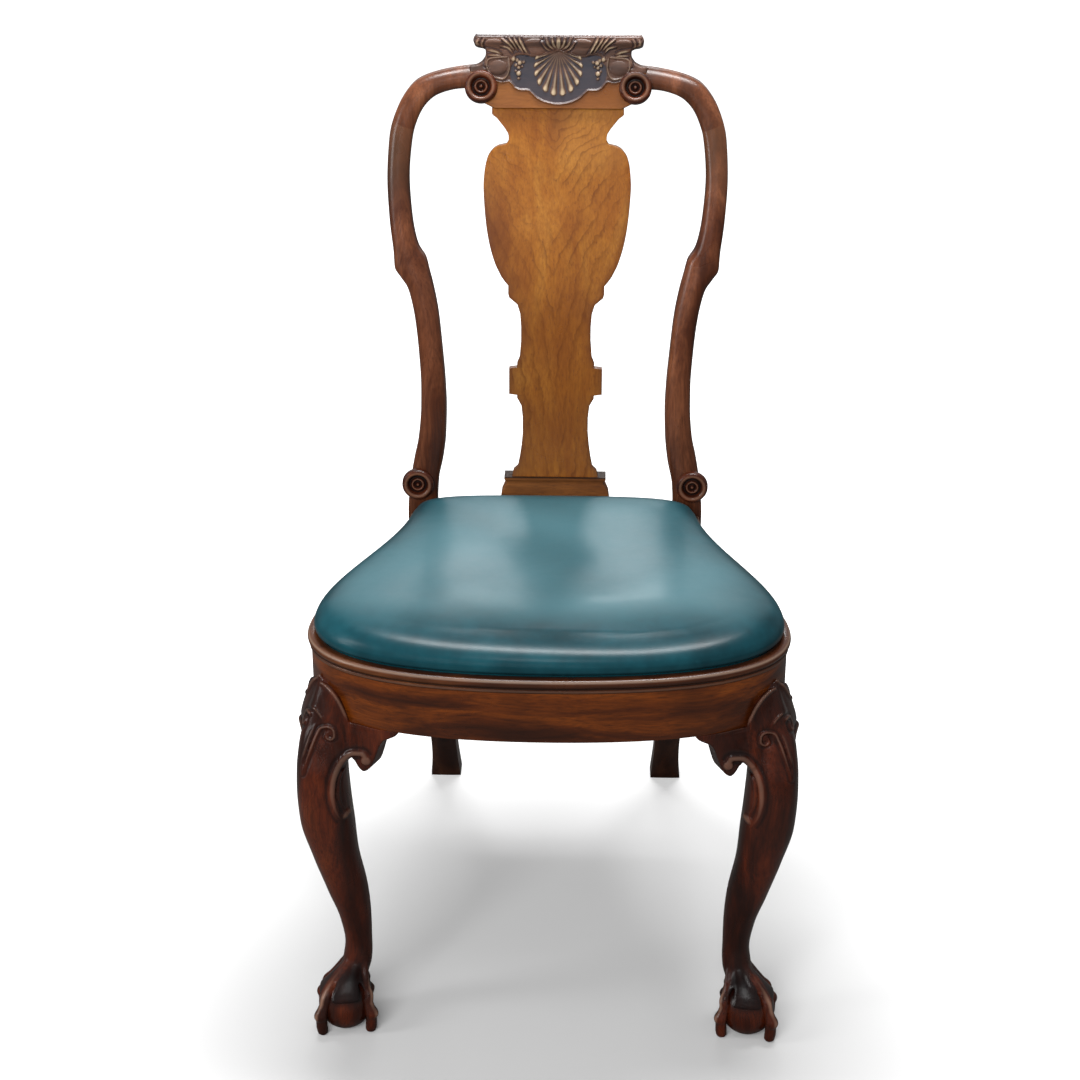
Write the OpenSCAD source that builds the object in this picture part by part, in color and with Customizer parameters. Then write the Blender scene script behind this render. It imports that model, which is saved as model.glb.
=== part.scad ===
// Side chair with a hooped back, a vase splat, cabriole legs and a drop-in leather seat.
// Millimetres. +Z is up, the sitter faces -Y, and the origin is on the floor under the
// middle of the chair.

/* [Overall] */
// Height of the chair
chair_h = 1031; // [1000:1:1060]
// Depth from the front of the rim to the back of the rear feet
chair_d = 630; // [615:1:650]
// Width over the back posts where the hoop is widest
back_w = 412; // [400:1:425]

/* [Seat frame] */
// Height of the rim that borders the seat
seat_h = 465; // [450:1:480]
// Width over the rim where the seat is widest
seat_w = 534; // [520:1:550]
// Depth behind the front of the rim at which the seat is widest
corner_d = 130; // [124:1:136]
// Depth from the front of the rim to the back posts
seat_d = 450; // [444:1:456]
// Width over the rim at the back posts
seat_back_w = 362; // [356:1:368]
// Height of a seat rail
rail_h = 59; // [54:1:66]
// Thickness of a seat rail
rail_t = 30; // [28:1:34]
// Thickness of the rear seat rail
rear_rail_t = 27; // [24:1:30]
// Height of the moulded rim on the rails
rim_h = 16; // [14:1:18]
// Width of the moulded rim
rim_w = 14; // [12:1:16]
// How far the rim stands out past the rails
rim_proud = 4; // [3:0.5:5]
// Length of the tenons on the rails
tenon_l = 20; // [16:1:22]
// Thickness of the tenons on the rails
tenon_t = 10; // [8:1:11]

/* [Front legs] */
// Width of a leg's stump, from the widest line of the rim to its inner face
stump_w = 52; // [49:1:55]
// Depth behind the front of the rim of the rear face of a leg's stump
stump_d = 112; // [108:1:116]
// How far the leg's stump reaches down below the rails
stump_drop = 46; // [42:1:50]
// Width of the leg at the knee
knee_w = 62; // [58:1:66]
// Width of the leg at the ankle
ankle_w = 31; // [28:1:34]
// Diameter of the ball under the claws
ball_dia = 62; // [58:1:66]
// How far the middle of the ball stands in from the widest line of the rim
foot_in = 36; // [32:1:40]
// Depth behind the front of the rim of the middle of the ball
foot_d = 38; // [36:1:42]
// Diameter of a claw at its thickest knuckle
claw_dia = 17; // [15:1:19]

/* [Knee brackets] */
// Length of a knee bracket along its rail
bracket_l = 56; // [50:1:60]
// Thickness of a knee bracket
bracket_t = 25; // [22:1:28]

/* [Back] */
// Thickness of a rear leg, front to back
rear_leg_t = 34; // [32:1:36]
// Thickness of the hoop at the crest, front to back
hoop_t = 24; // [22:1:27]
// Width of the crest between the ends of its lip
crest_w = 202; // [196:1:208]
// Height of the crest above its joint with the splat
crest_h = 79; // [75:1:83]
// Thickness of the crest
crest_t = 27; // [25:1:30]
// Height of the lip along the top of the crest
lip_h = 15; // [12:1:18]
// How far the lip stands out past the carved face
lip_proud = 4; // [3:0.5:5]
// Diameter of the roundels
roundel_dia = 39.5; // [37:0.5:42]
// How far a roundel stands out
roundel_h = 9; // [7:0.5:11]
// Distance between the upper roundels
upper_roundel_gap = 185; // [183:1:187]
// How far the middles of the upper roundels lie below the top of the crest
upper_roundel_drop = 56; // [53:1:59]
// Distance between the lower roundels
lower_roundel_gap = 341; // [337:1:343]
// How far the middles of the lower roundels stand above the rim of the seat
lower_roundel_rise = 39; // [35:1:43]

/* [Splat] */
// Width of the splat across the vase
splat_w = 178; // [170:1:186]
// Thickness of the splat
splat_t = 9; // [8:0.5:10]
// Height of the shoe that holds the splat
shoe_h = 48; // [44:1:52]
// Width of the shoe at its foot
shoe_w = 136; // [130:1:142]

/* [Drop-in seat] */
// Height of the crown above the rim
crown_h = 40; // [36:1:44]
// Height of the bars of the seat frame
bar_h = 20; // [18:1:22]
// Width of the bars of the seat frame
bar_w = 48; // [44:1:54]
// Thickness of the leather
leather_t = 1.5; // [1.2:0.1:2]
// Width of a strip of webbing
web_w = 50; // [46:1:52]
// Thickness of the webbing
web_t = 1.2; // [1:0.1:1.5]
// Number of strips of webbing each way
web_count = 3; // [2:1:4]

/* [Fits] */
// Room for glue round a tenon or a dowel
glue_gap = 0.15; // [0.1:0.01:0.2]
// Room between the drop-in seat and the frame
seat_gap = 0.3; // [0.3:0.05:0.6]

/* [Hidden] */

front_y = -chair_d / 2;
rail_top = seat_h - rim_h;
rail_bottom = rail_top - rail_h;
stump_bottom = rail_bottom - stump_drop;
stump_x = seat_w / 2 - stump_w;
upper_roundel_z = chair_h - upper_roundel_drop;
lower_roundel_z = seat_h + lower_roundel_rise;
// Overrun of every cut past the face that it opens
over = glue_gap * 4;
// Smallest step between two coincident faces that are meant to be one solid
sink = glue_gap;
// Depth that the ball loses where it stands on the floor
ball_flat = 3;
// Radii of the turned dowels behind the roundels and in the hoop's joint
roundel_dowel_r = 5;
hoop_dowel_r = 6;
roundel_seat = 1.5;
// Screws in the corner blocks
screw_r = 2;
screw_l = 34;
screw_head_r = 4.2;
screw_head_h = 3;
// Tacks in the leather
tack_r = 3.2;
tack_h = 0.8;
tack_count = 22;
// Room between the layers of the seat
layer_gap = 0.1;
hessian_t = 0.8;

// Monotone cubic through the rows of a table: column 0 is the place and c the value wanted
function rise(t, i, c) = (t[i + 1][c] - t[i][c]) / (t[i + 1][0] - t[i][0]);
function tangent(t, i, c) =
    i == 0 ? rise(t, 0, c) :
    i == len(t) - 1 ? rise(t, i - 1, c) :
    let(a = rise(t, i - 1, c), b = rise(t, i, c))
    a * b <= 0 ? 0 : 2 * a * b / (a + b);
function row_of(t, u, i = 0) = i >= len(t) - 2 || u <= t[i + 1][0] ? i : row_of(t, u, i + 1);
function along(t, u, c) =
    let(i = row_of(t, u), w = t[i + 1][0] - t[i][0], s = (u - t[i][0]) / w)
    t[i][c] * (1 + 2 * s) * (1 - s) * (1 - s) + t[i + 1][c] * s * s * (3 - 2 * s)
    + w * (tangent(t, i, c) * s * (1 - s) * (1 - s) - tangent(t, i + 1, c) * s * s * (1 - s));

// Cubic curve with handles, its direction, and a point set in from it at right angles
function curve(p, s) =
    p[0] * pow(1 - s, 3) + p[1] * 3 * s * pow(1 - s, 2) + p[2] * 3 * s * s * (1 - s)
    + p[3] * pow(s, 3);
function heading(p, s) =
    let(v = (p[1] - p[0]) * pow(1 - s, 2) + (p[2] - p[1]) * 2 * s * (1 - s)
        + (p[3] - p[2]) * s * s)
    v / norm(v);
function set_in(p, s, inset) =
    let(v = heading(p, s))
    curve(p, s) + inset * [-v[1], v[0]];

// Closed skin over rings that turn anticlockwise as seen from where they lead
module skin(rings) {
    n = len(rings[0]);
    last = (len(rings) - 1) * n;
    points = [for (ring = rings) each ring];
    sides = [
        for (j = [0:len(rings) - 2], i = [0:n - 1])
        let(a = j * n + i, b = j * n + (i + 1) % n)
        each [[a, a + n, b + n], [a, b + n, b]]
    ];
    near = [for (i = [1:n - 2]) [0, i, i + 1]];
    far = [for (i = [1:n - 2]) [last, last + i + 1, last + i]];
    polyhedron(points, concat(sides, near, far), convexity = 6);
}

// The seat's plan, right half, as three curves: the bowed front, the serpentine side and
// the rounded rear corner with the straight back
bow_share = 0.71;
corner_share = 0.38;
side_share = 0.3;
neck_share = 0.4;
rear_corner_r = 30;
seat_x = seat_w / 2;
seat_back_x = seat_back_w / 2;
side_d = seat_d - corner_d;
bow = [
    [0, front_y], [seat_x * bow_share, front_y], [seat_x, front_y + corner_d * corner_share],
    [seat_x, front_y + corner_d]
];
side = [
    [seat_x, front_y + corner_d], [seat_x, front_y + corner_d + side_d * side_share],
    [seat_back_x, front_y + seat_d - side_d * neck_share], [seat_back_x, front_y + seat_d]
];
// u runs from 0 at the front through 1 where the seat is widest to 2 at the post
function edge(u, inset) =
    u < 0 ? let(p = edge(-u, inset)) [-p[0], p[1]] :
    u <= 1 ? set_in(bow, u, inset) : set_in(side, u - 1, inset);
// The drop-in seat's outline, set in from the rim and clear of the posts and the shoe
seat_back_gap = 2;
function seat_half(inset, n, back) =
    let(y = front_y + seat_d - back, x = seat_back_x - inset,
        rear = [[x, y - rear_corner_r], [x, y], [x - 2 * rear_corner_r, y], [0, y]],
        last_u = 2 - (seat_d - (y - rear_corner_r - front_y)) / side_d)
    concat(
        [for (i = [0:n]) edge(last_u * i / n, inset)],
        [for (s = [0.2:0.2:0.81]) curve(rear, s)]
    );
function seat_outline(inset, n, back = 0) =
    let(half = seat_half(inset, n, back), m = len(half), back_y = max([for (p = half) p[1]]))
    concat(half, [[0, back_y]], [for (i = [m - 1:-1:1]) [-half[i][0], half[i][1]]]);

// Plan band of a rail between two insets, from u0 to u1
rail_steps = 24;
function band(u0, u1, outer, inner, n) =
    concat(
        [for (i = [0:n]) edge(u0 + (u1 - u0) * i / n, outer)],
        [for (i = [n:-1:0]) edge(u0 + (u1 - u0) * i / n, inner)]
    );
module rail_band(u0, u1, outer, inner, z0, z1)
    translate([0, 0, z0]) linear_extrude(z1 - z0)
        polygon(band(u0, u1, outer, inner, rail_steps));
// A box from one corner to the other
module block(a, b)
    translate(a) cube(b - a);
module twin()
    mirror([1, 0, 0]) children();

// Depth of the front face of the back at a height: upright at the seat, then leaning away
back_lean = 131;
lean_shares = [
    [0.47, 0], [0.582, 0.034], [0.679, 0.145], [0.776, 0.336], [0.854, 0.55], [0.945, 0.824],
    [1, 1]
];
rake_shares = [[0, 1], [0.5, 0.44], [1, 0]];
function back_y(z) =
    z < rail_bottom ?
    front_y + seat_d + (chair_d - rear_leg_t - seat_d) * along(rake_shares, z / rail_bottom, 1) :
    z < chair_h * lean_shares[0][0] ? front_y + seat_d :
    front_y + seat_d + back_lean * along(lean_shares, min(1, z / chair_h), 1);

// The hoop: a row is a station with its outer and inner point, as shares of the hoop's
// half width and of the chair's height. It starts at the foot and ends inside the crest.
hoop_shares = [
    [0, 0.85, 0, 0.65, 0], [1, 0.833, 0.058, 0.667, 0.058], [2, 0.854, 0.194, 0.68, 0.194],
    [3, 0.888, 0.369, 0.718, 0.369], [4, 0.891, 0.45, 0.718, 0.45],
    [5, 0.879, 0.485, 0.71, 0.485], [6, 0.852, 0.518, 0.677, 0.518],
    [7, 0.825, 0.543, 0.662, 0.543], [8, 0.806, 0.582, 0.655, 0.582],
    [9, 0.804, 0.611, 0.66, 0.611], [10, 0.816, 0.652, 0.677, 0.652],
    [11, 0.84, 0.693, 0.699, 0.693], [12, 0.879, 0.723, 0.731, 0.725],
    [13, 0.917, 0.734, 0.75, 0.739], [14, 0.955, 0.746, 0.772, 0.755],
    [15, 0.961, 0.763, 0.818, 0.77], [16, 0.985, 0.801, 0.853, 0.801],
    [17, 0.999, 0.846, 0.871, 0.846], [18, 0.988, 0.889, 0.854, 0.887],
    [19, 0.937, 0.923, 0.825, 0.907], [20, 0.825, 0.951, 0.777, 0.924],
    [21, 0.704, 0.96, 0.699, 0.936], [22, 0.573, 0.965, 0.573, 0.942],
    [23, 0.437, 0.968, 0.437, 0.943]
];
// Where the hoop's joint lies, and where its arm ends inside the crest
joint_share = 0.8043;
arm_end_share = 0.9826;
joint_u = joint_share * (len(hoop_shares) - 1);
crest_u = arm_end_share * (len(hoop_shares) - 1);
hoop_steps = 2;
// Where the front of the hoop turns from flat, at the rails, to round
round_shares = [[0, 0.03], [4, 0.03], [6, 0.42], [23, 0.45]];
back_chamfer_share = 0.09;
function hoop_edge(u, c) =
    [along(hoop_shares, u, c) * back_w / 2, along(hoop_shares, u, c + 1) * chair_h];
function hoop_outer(u) = hoop_edge(u, 1);
function hoop_inner(u) = hoop_edge(u, 3);
function hoop_depth(z) =
    rear_leg_t + (hoop_t - rear_leg_t) * max(0, min(1, (z - seat_h) / (upper_roundel_z - seat_h)));
function hoop_ring(u) =
    let(o = hoop_outer(u), i = hoop_inner(u), r = along(round_shares, u, 1),
        c = back_chamfer_share,
        shape = concat(
            [for (a = [180:22.5:360]) [(1 + cos(a)) / 2, r * (1 + sin(a))]],
            [[1, 1 - c], [1 - c, 1], [c, 1], [0, 1 - c]]
        ))
    [
        for (p = shape)
        let(q = i + (o - i) * p[0])
        [q[0], back_y(q[1]) + hoop_depth(q[1]) * p[1], q[1]]
    ];
module hoop(u0, u1) {
    n = ceil((u1 - u0) * hoop_steps);
    skin([for (k = [0:n]) hoop_ring(u0 + (u1 - u0) * k / n)]);
}
// Middle of the hoop at a station, and a child turned to point along it from there
function hoop_mid(u) =
    let(q = (hoop_outer(u) + hoop_inner(u)) / 2)
    [q[0], back_y(q[1]) + hoop_depth(q[1]) / 2, q[1]];
// Share of a station that the glue line in the hoop's joint takes
joint_gap_u = glue_gap / norm(hoop_mid(joint_u + 1 / 2) - hoop_mid(joint_u - 1 / 2));
module at_joint() {
    v = hoop_mid(joint_u + 1 / 4) - hoop_mid(joint_u - 1 / 4);
    translate(hoop_mid(joint_u))
        rotate([0, acos(v[2] / norm(v)), atan2(v[1], v[0])]) children();
}
hoop_tenon_l = 16;
module joint_dowel(gap)
    at_joint() translate([0, 0, -hoop_tenon_l])
        cylinder(r = hoop_dowel_r + gap, h = 2 * hoop_tenon_l + gap, $fn = 32);

// A roundel's seat: its middle on the face of the back, facing out along the back's lean
function lean_at(z) = atan((back_y(z + rim_h) - back_y(z - rim_h)) / (2 * rim_h));
module on_back(x, z)
    translate([x, back_y(z), z]) rotate([90 - lean_at(z), 0, 0]) children();
roundel_r = roundel_dia / 2;
roundel_hole_l = 10;
module roundel() {
    // Rolled outer bead, sunk ring and button, turned in one piece with its dowel
    bead_r = roundel_h * 0.44;
    button_r = roundel_r * 0.2;
    floor_h = roundel_h * 0.35;
    rotate_extrude($fn = 48) {
        square([roundel_r, floor_h]);
        square([button_r, roundel_h * 0.8]);
        translate([roundel_r - 2 * bead_r, 0]) square([2 * bead_r, roundel_h - bead_r]);
        translate([roundel_r - bead_r, roundel_h - bead_r]) circle(bead_r, $fn = 24);
    }
    translate([0, 0, glue_gap - roundel_hole_l])
        cylinder(r = roundel_dowel_r, h = roundel_hole_l, $fn = 32);
}
module roundel_cut() {
    translate([0, 0, -roundel_seat])
        cylinder(r = roundel_r + glue_gap, h = roundel_seat + roundel_h, $fn = 48);
    translate([0, 0, -roundel_seat - roundel_hole_l])
        cylinder(r = roundel_dowel_r + glue_gap, h = roundel_hole_l + over, $fn = 32);
}
module placed_roundel(x, z)
    on_back(x, z) translate([0, 0, -roundel_seat]) roundel();

// Crest: a front outline and a leaning side profile, cut from one block. Points of the
// outline are shares of half the lip's width, and of the crest's height.
crest_bottom = chair_h - crest_h;
crest_side_share = [
    [0.79, 0], [0.85, 0.01], [1.0, 0.12], [1.06, 0.3], [1.06, 0.59], [0.97, 0.63], [0.9, 0.69],
    [0.91, 0.75], [0.985, 0.8], [1.01, 0.86], [1, 0.94], [0.975, 1]
];
module crest_block() {
    half_w = crest_w / 2;
    right = [for (p = crest_side_share) [p[0] * half_w, crest_bottom + p[1] * crest_h]];
    left = [for (i = [len(right) - 1:-1:0]) [-right[i][0], right[i][1]]];
    face = back_y(crest_bottom);
    top = back_y(chair_h);
    lip_z = chair_h - lip_h;
    lip_y = back_y(lip_z);
    intersection() {
        translate([0, chair_d, 0]) rotate([90, 0, 0]) linear_extrude(chair_d)
            polygon(concat(right, left));
        translate([-crest_w, 0, 0]) rotate([90, 0, 90]) linear_extrude(2 * crest_w) polygon([
            [face, crest_bottom], [face + crest_t, crest_bottom],
            [top + crest_t * 1.05, chair_h], [top - lip_proud * 0.6, chair_h],
            [top - lip_proud, chair_h - lip_h * 0.15], [top - 1.5 * lip_proud, chair_h - lip_h * 0.5],
            [lip_y - 0.8 * lip_proud, lip_z + lip_h * 0.15], [lip_y, lip_z]
        ]);
    }
}
// The sunk ground of the cartouche, right half, as shares like the crest's outline
ground_depth = 3;
ground_share = [
    [0, 0.085], [0.1, 0.1], [0.2, 0.16], [0.29, 0.24], [0.37, 0.28], [0.45, 0.26], [0.53, 0.34],
    [0.57, 0.5], [0.56, 0.64], [0.48, 0.74], [0.25, 0.75], [0, 0.77]
];
// Scallop shell: radial sections turned about the hinge, whose height and reach rise and
// fall with the ribs
rib_count = 9;
rib_samples = 5;
shell_spread = 150;
hinge_share = 0.76;
shell_reach_share = 0.62;
rib_h = 3.4;
hinge_r = 2.5;
module on_crest()
    translate([0, back_y(crest_bottom), crest_bottom])
        rotate([90 - lean_at(chair_h - crest_h / 2), 0, 0]) children();
crest_face_h = crest_h / cos(lean_at(chair_h - crest_h / 2));
module cartouche_cut() {
    right = [for (p = ground_share) [p[0] * crest_w / 2, p[1] * crest_face_h]];
    left = [for (i = [len(right) - 2:-1:1]) [-right[i][0], right[i][1]]];
    on_crest() translate([0, 0, -ground_depth]) linear_extrude(ground_depth + over)
        polygon(concat(right, left));
}
function shell_ring(t) =
    let(lobe = abs(cos(180 * rib_count * t)), side = pow(2 * abs(t), 2),
        r = shell_reach_share * crest_face_h * (1 - 0.34 * side) * (0.93 + 0.07 * lobe),
        h = rib_h * (0.3 + 0.7 * lobe), a = shell_spread * t,
        section = [
            [hinge_r, -0.3], [hinge_r, 0.4], [r * 0.6, 0.85], [r * 0.93, 1], [r, 0.6], [r, -0.3]
        ])
    [for (p = section) [p[0] * sin(a), -p[0] * cos(a), p[1] * h]];
module shell() {
    n = rib_count * rib_samples;
    on_crest() translate([0, hinge_share * crest_face_h, -ground_depth])
        skin([for (i = [0:n]) shell_ring(i / n - 0.5)]);
}
// Slot in the crest for the tongue on the splat
splat_set = 5;
splat_tongue = 12;
splat_neck_share = 0.88;
module tongue(gap) {
    w = splat_neck_share * splat_w * 0.8 / 2 + gap;
    y = back_y(crest_bottom) + splat_set;
    rise_y = back_y(crest_bottom + splat_tongue) - back_y(crest_bottom);
    translate([-w, 0, 0]) rotate([90, 0, 90]) linear_extrude(2 * w) polygon([
        [y + splat_t * 0.25 - gap, crest_bottom - over],
        [y + splat_t * 0.75 + gap, crest_bottom - over],
        [y + rise_y + splat_t * 0.75 + gap, crest_bottom + splat_tongue + gap],
        [y + rise_y + splat_t * 0.25 - gap, crest_bottom + splat_tongue + gap]
    ]);
}
module crest_rail() {
    color("#5a2a18") difference() {
        union() {
            difference() {
                crest_block();
                cartouche_cut();
            }
            shell();
            hoop(joint_u, crest_u);
            twin() hoop(joint_u, crest_u);
        }
        tongue(glue_gap);
        joint_dowel(glue_gap);
        twin() joint_dowel(glue_gap);
        on_back(upper_roundel_gap / 2, upper_roundel_z) roundel_cut();
        on_back(-upper_roundel_gap / 2, upper_roundel_z) roundel_cut();
    }
}

// Boxes for the tenons at the rear of the side rails and at the ends of the rear rail
post_in = hoop_shares[3][3] * back_w / 2;
tenon_z = [rail_bottom + rail_h * 0.2, rail_top - rail_h * 0.15];
side_tenon_x = seat_back_x - rim_proud - rail_t / 2;
rear_tenon_y = front_y + seat_d + rear_leg_t * 0.62;
rear_tenon_l = 10;
module side_rear_tenon(gap)
    block(
        [side_tenon_x - tenon_t / 2 - gap, front_y + seat_d - sink, tenon_z[0] - gap],
        [side_tenon_x + tenon_t / 2 + gap, front_y + seat_d + rear_leg_t * 0.4 + gap, tenon_z[1] + gap]
    );
module rear_tenon(gap)
    block(
        [post_in - sink, rear_tenon_y - tenon_t / 2 - gap, tenon_z[0] - gap],
        [post_in + rear_tenon_l + gap, rear_tenon_y + tenon_t / 2 + gap, tenon_z[1] + gap]
    );
// Right post: one piece from the floor to the joint in the hoop
module back_post() {
    difference() {
        hoop(0, joint_u - joint_gap_u);
        side_rear_tenon(glue_gap);
        rear_tenon(glue_gap);
        on_back(lower_roundel_gap / 2, lower_roundel_z) roundel_cut();
    }
    joint_dowel(0);
}
module right_back_post()
    color("#4f2414") back_post();
module left_back_post()
    color("#4f2414") twin() back_post();
module upper_right_roundel()
    color("#4a2012") placed_roundel(upper_roundel_gap / 2, upper_roundel_z);
module upper_left_roundel()
    color("#4a2012") placed_roundel(-upper_roundel_gap / 2, upper_roundel_z);
module lower_right_roundel()
    color("#4a2012") placed_roundel(lower_roundel_gap / 2, lower_roundel_z);
module lower_left_roundel()
    color("#4a2012") placed_roundel(-lower_roundel_gap / 2, lower_roundel_z);

// Splat: half its outline as shares of half its width and of its visible height, from the
// shoe up. Straight steps are pairs of points; the round stretches are filled in.
splat_bottom = seat_h + shoe_h;
splat_h = crest_bottom - splat_bottom;
splat_base_share = [
    [0.6, 0], [0.58, 0.018], [0.52, 0.03], [0.495, 0.055], [0.47, 0.09], [0.452, 0.13],
    [0.452, 0.175], [0.47, 0.21], [0.53, 0.232], [0.53, 0.24], [0.64, 0.243], [0.64, 0.315],
    [0.53, 0.318], [0.53, 0.328], [0.495, 0.345], [0.477, 0.39], [0.477, 0.43], [0.49, 0.465],
    [0.53, 0.49], [0.64, 0.508], [0.655, 0.518], [0.655, 0.54], [0.7, 0.55], [0.755, 0.565]
];
vase_share = [
    [0.565, 0.755], [0.6, 0.84], [0.65, 0.915], [0.7, 0.96], [0.76, 0.99], [0.8, 1],
    [0.84, 0.985], [0.87, 0.95], [0.893, 0.87], [0.902, 0.79], [0.906, 0.69]
];
splat_ear_share = [
    [0.66, 0.912], [0.66, 0.93], [0.7, 0.945], [0.78, 0.962], [0.88, 0.972], [0.89, 1]
];
vase_steps = 20;
module splat() {
    half_w = splat_w / 2;
    low = vase_share[0][0];
    high = vase_share[len(vase_share) - 1][0];
    vase = [
        for (i = [1:vase_steps])
        let(u = low + (high - low) * i / vase_steps)
        [along(vase_share, u, 1), u]
    ];
    right = [
        for (p = concat(splat_base_share, vase, splat_ear_share))
        [p[0] * half_w, splat_bottom + p[1] * splat_h]
    ];
    left = [for (i = [len(right) - 1:-1:0]) [-right[i][0], right[i][1]]];
    levels = [for (i = [0:rail_steps]) splat_bottom - over + (splat_h + over) * i / rail_steps];
    front = [for (z = levels) [back_y(z) + splat_set, z]];
    back = [for (i = [rail_steps:-1:0]) [back_y(levels[i]) + splat_set + splat_t, levels[i]]];
    color("#9a6228") {
        intersection() {
            translate([0, chair_d, 0]) rotate([90, 0, 0]) linear_extrude(chair_d)
                polygon(concat(right, left));
            translate([-splat_w, 0, 0]) rotate([90, 0, 90]) linear_extrude(2 * splat_w)
                polygon(concat(front, back));
        }
        tongue(0);
        shoe_tongue(0);
    }
}
// Tongue at the foot of the splat, in the shoe
shoe_slot_w = 84;
module shoe_tongue(gap) {
    y = front_y + seat_d + splat_set;
    block(
        [-shoe_slot_w / 2 - gap, y + splat_t * 0.2 - gap, splat_bottom - splat_tongue - gap],
        [shoe_slot_w / 2 + gap, y + splat_t * 0.8 + gap, splat_bottom + over]
    );
}
shoe_t = 26;
shoe_front = front_y + seat_d + splat_set - shoe_t * 0.15;
shoe_side_share = [
    [1, 0], [1, 0.35], [0.98, 0.55], [0.92, 0.74], [0.885, 0.82], [0.885, 0.86], [0.93, 0.93],
    [0.93, 1]
];
module splat_shoe() {
    half_w = shoe_w / 2;
    right = [for (p = shoe_side_share) [p[0] * half_w, seat_h + p[1] * shoe_h]];
    left = [for (i = [len(right) - 1:-1:0]) [-right[i][0], right[i][1]]];
    color("#6b3a1a") difference() {
        intersection() {
            translate([0, chair_d, 0]) rotate([90, 0, 0]) linear_extrude(chair_d)
                polygon(concat(right, left));
            translate([-shoe_w, 0, 0]) rotate([90, 0, 90]) linear_extrude(2 * shoe_w) polygon([
                for (p = shoe_side_share) [shoe_front + (1 - p[0]) * shoe_t, seat_h + p[1] * shoe_h],
                [shoe_front + shoe_t, seat_h + shoe_h], [shoe_front + shoe_t, seat_h]
            ]);
        }
        shoe_tongue(glue_gap);
    }
}

// Front rail: follows the bow between the stumps, with a tenon at each end
front_tenon_d = 71;
module front_tenon(gap)
    block(
        [stump_x - sink, front_y + front_tenon_d - tenon_t / 2 - gap, tenon_z[0] - gap],
        [stump_x + tenon_l + gap, front_y + front_tenon_d + tenon_t / 2 + gap, tenon_z[1] + gap]
    );
module side_front_tenon(gap)
    block(
        [chamfer_x + rail_t * 0.3 - gap, front_y + stump_d - tenon_l - gap, tenon_z[0] - gap],
        [chamfer_x + rail_t * 0.3 + tenon_t + gap, front_y + stump_d + sink, tenon_z[1] + gap]
    );
module front_seat_rail()
    color("#7a3f1c") difference() {
        union() {
            intersection() {
                rail_band(-1, 1, rim_proud, rim_proud + rail_t, rail_bottom, rail_top);
                block([-stump_x, front_y, 0], [stump_x, front_y + stump_d, seat_h]);
            }
            front_tenon(0);
            twin() front_tenon(0);
        }
        screw_cuts();
        twin() screw_cuts();
    }
module side_rail()
    difference() {
        union() {
            intersection() {
                union() {
                    rail_band(0.8, 1, rim_proud, rim_proud + rail_t, rail_bottom, rail_top);
                    rail_band(1, 2, rim_proud, rim_proud + rail_t, rail_bottom, rail_top);
                }
                block([0, front_y + stump_d, 0], [seat_w, front_y + seat_d, seat_h]);
            }
            side_front_tenon(0);
            side_rear_tenon(0);
        }
        screw_cuts();
    }
module right_seat_rail()
    color("#70391a") side_rail();
module left_seat_rail()
    color("#70391a") twin() side_rail();
// Rear rail: between the posts, with a ledge in front that carries the seat
ledge_w = 10;
ledge_y = front_y + seat_d - ledge_w;
ledge_x = seat_back_x - rim_proud - rail_t - 2 * glue_gap;
module rear_seat_rail()
    color("#6a3618") difference() {
        union() {
            block(
                [glue_gap - post_in, front_y + seat_d, rail_bottom],
                [post_in - glue_gap, front_y + seat_d + rear_rail_t, seat_h]
            );
            block(
                [-ledge_x, ledge_y, rail_bottom],
                [ledge_x, front_y + seat_d + rear_rail_t / 2, rail_top]
            );
            rear_tenon(0);
            twin() rear_tenon(0);
        }
        screw_cuts();
        twin() screw_cuts();
    }

// Rim: a rolled bead over a fine one, as a section of inset and height that follows the plan
bead_share = 0.28;
rim_split_share = 0.8;
rim_steps = 22;
function rim_section() =
    let(r = rim_h * bead_share, quirk = rim_proud * 0.8, low = rail_top + rim_h * 0.08)
    concat(
        [[rim_proud, rail_top], [rim_w, rail_top], [rim_w, seat_h]],
        [for (a = [90:30:240]) [r + r * cos(a), seat_h - r + r * sin(a)]],
        [
            [quirk, seat_h - 2 * r], [quirk, rail_top + rim_h * 0.4],
            [quirk * 0.6, rail_top + rim_h * 0.34], [quirk * 0.6, rail_top + rim_h * 0.14],
            [quirk, low]
        ]
    );
module rim(u0, u1, n)
    skin([
        for (i = [0:n])
        let(u = u0 + (u1 - u0) * i / n)
        [for (p = rim_section()) let(q = edge(u, p[0])) [q[0], q[1], p[1]]]
    ]);
module front_rim()
    color("#8a5632") rim(-rim_split_share, rim_split_share, 2 * rim_steps);
module right_rim()
    color("#8a5632") rim(rim_split_share, 2, rim_steps);
module left_rim()
    color("#8a5632") twin() rim(rim_split_share, 2, rim_steps);

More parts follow.
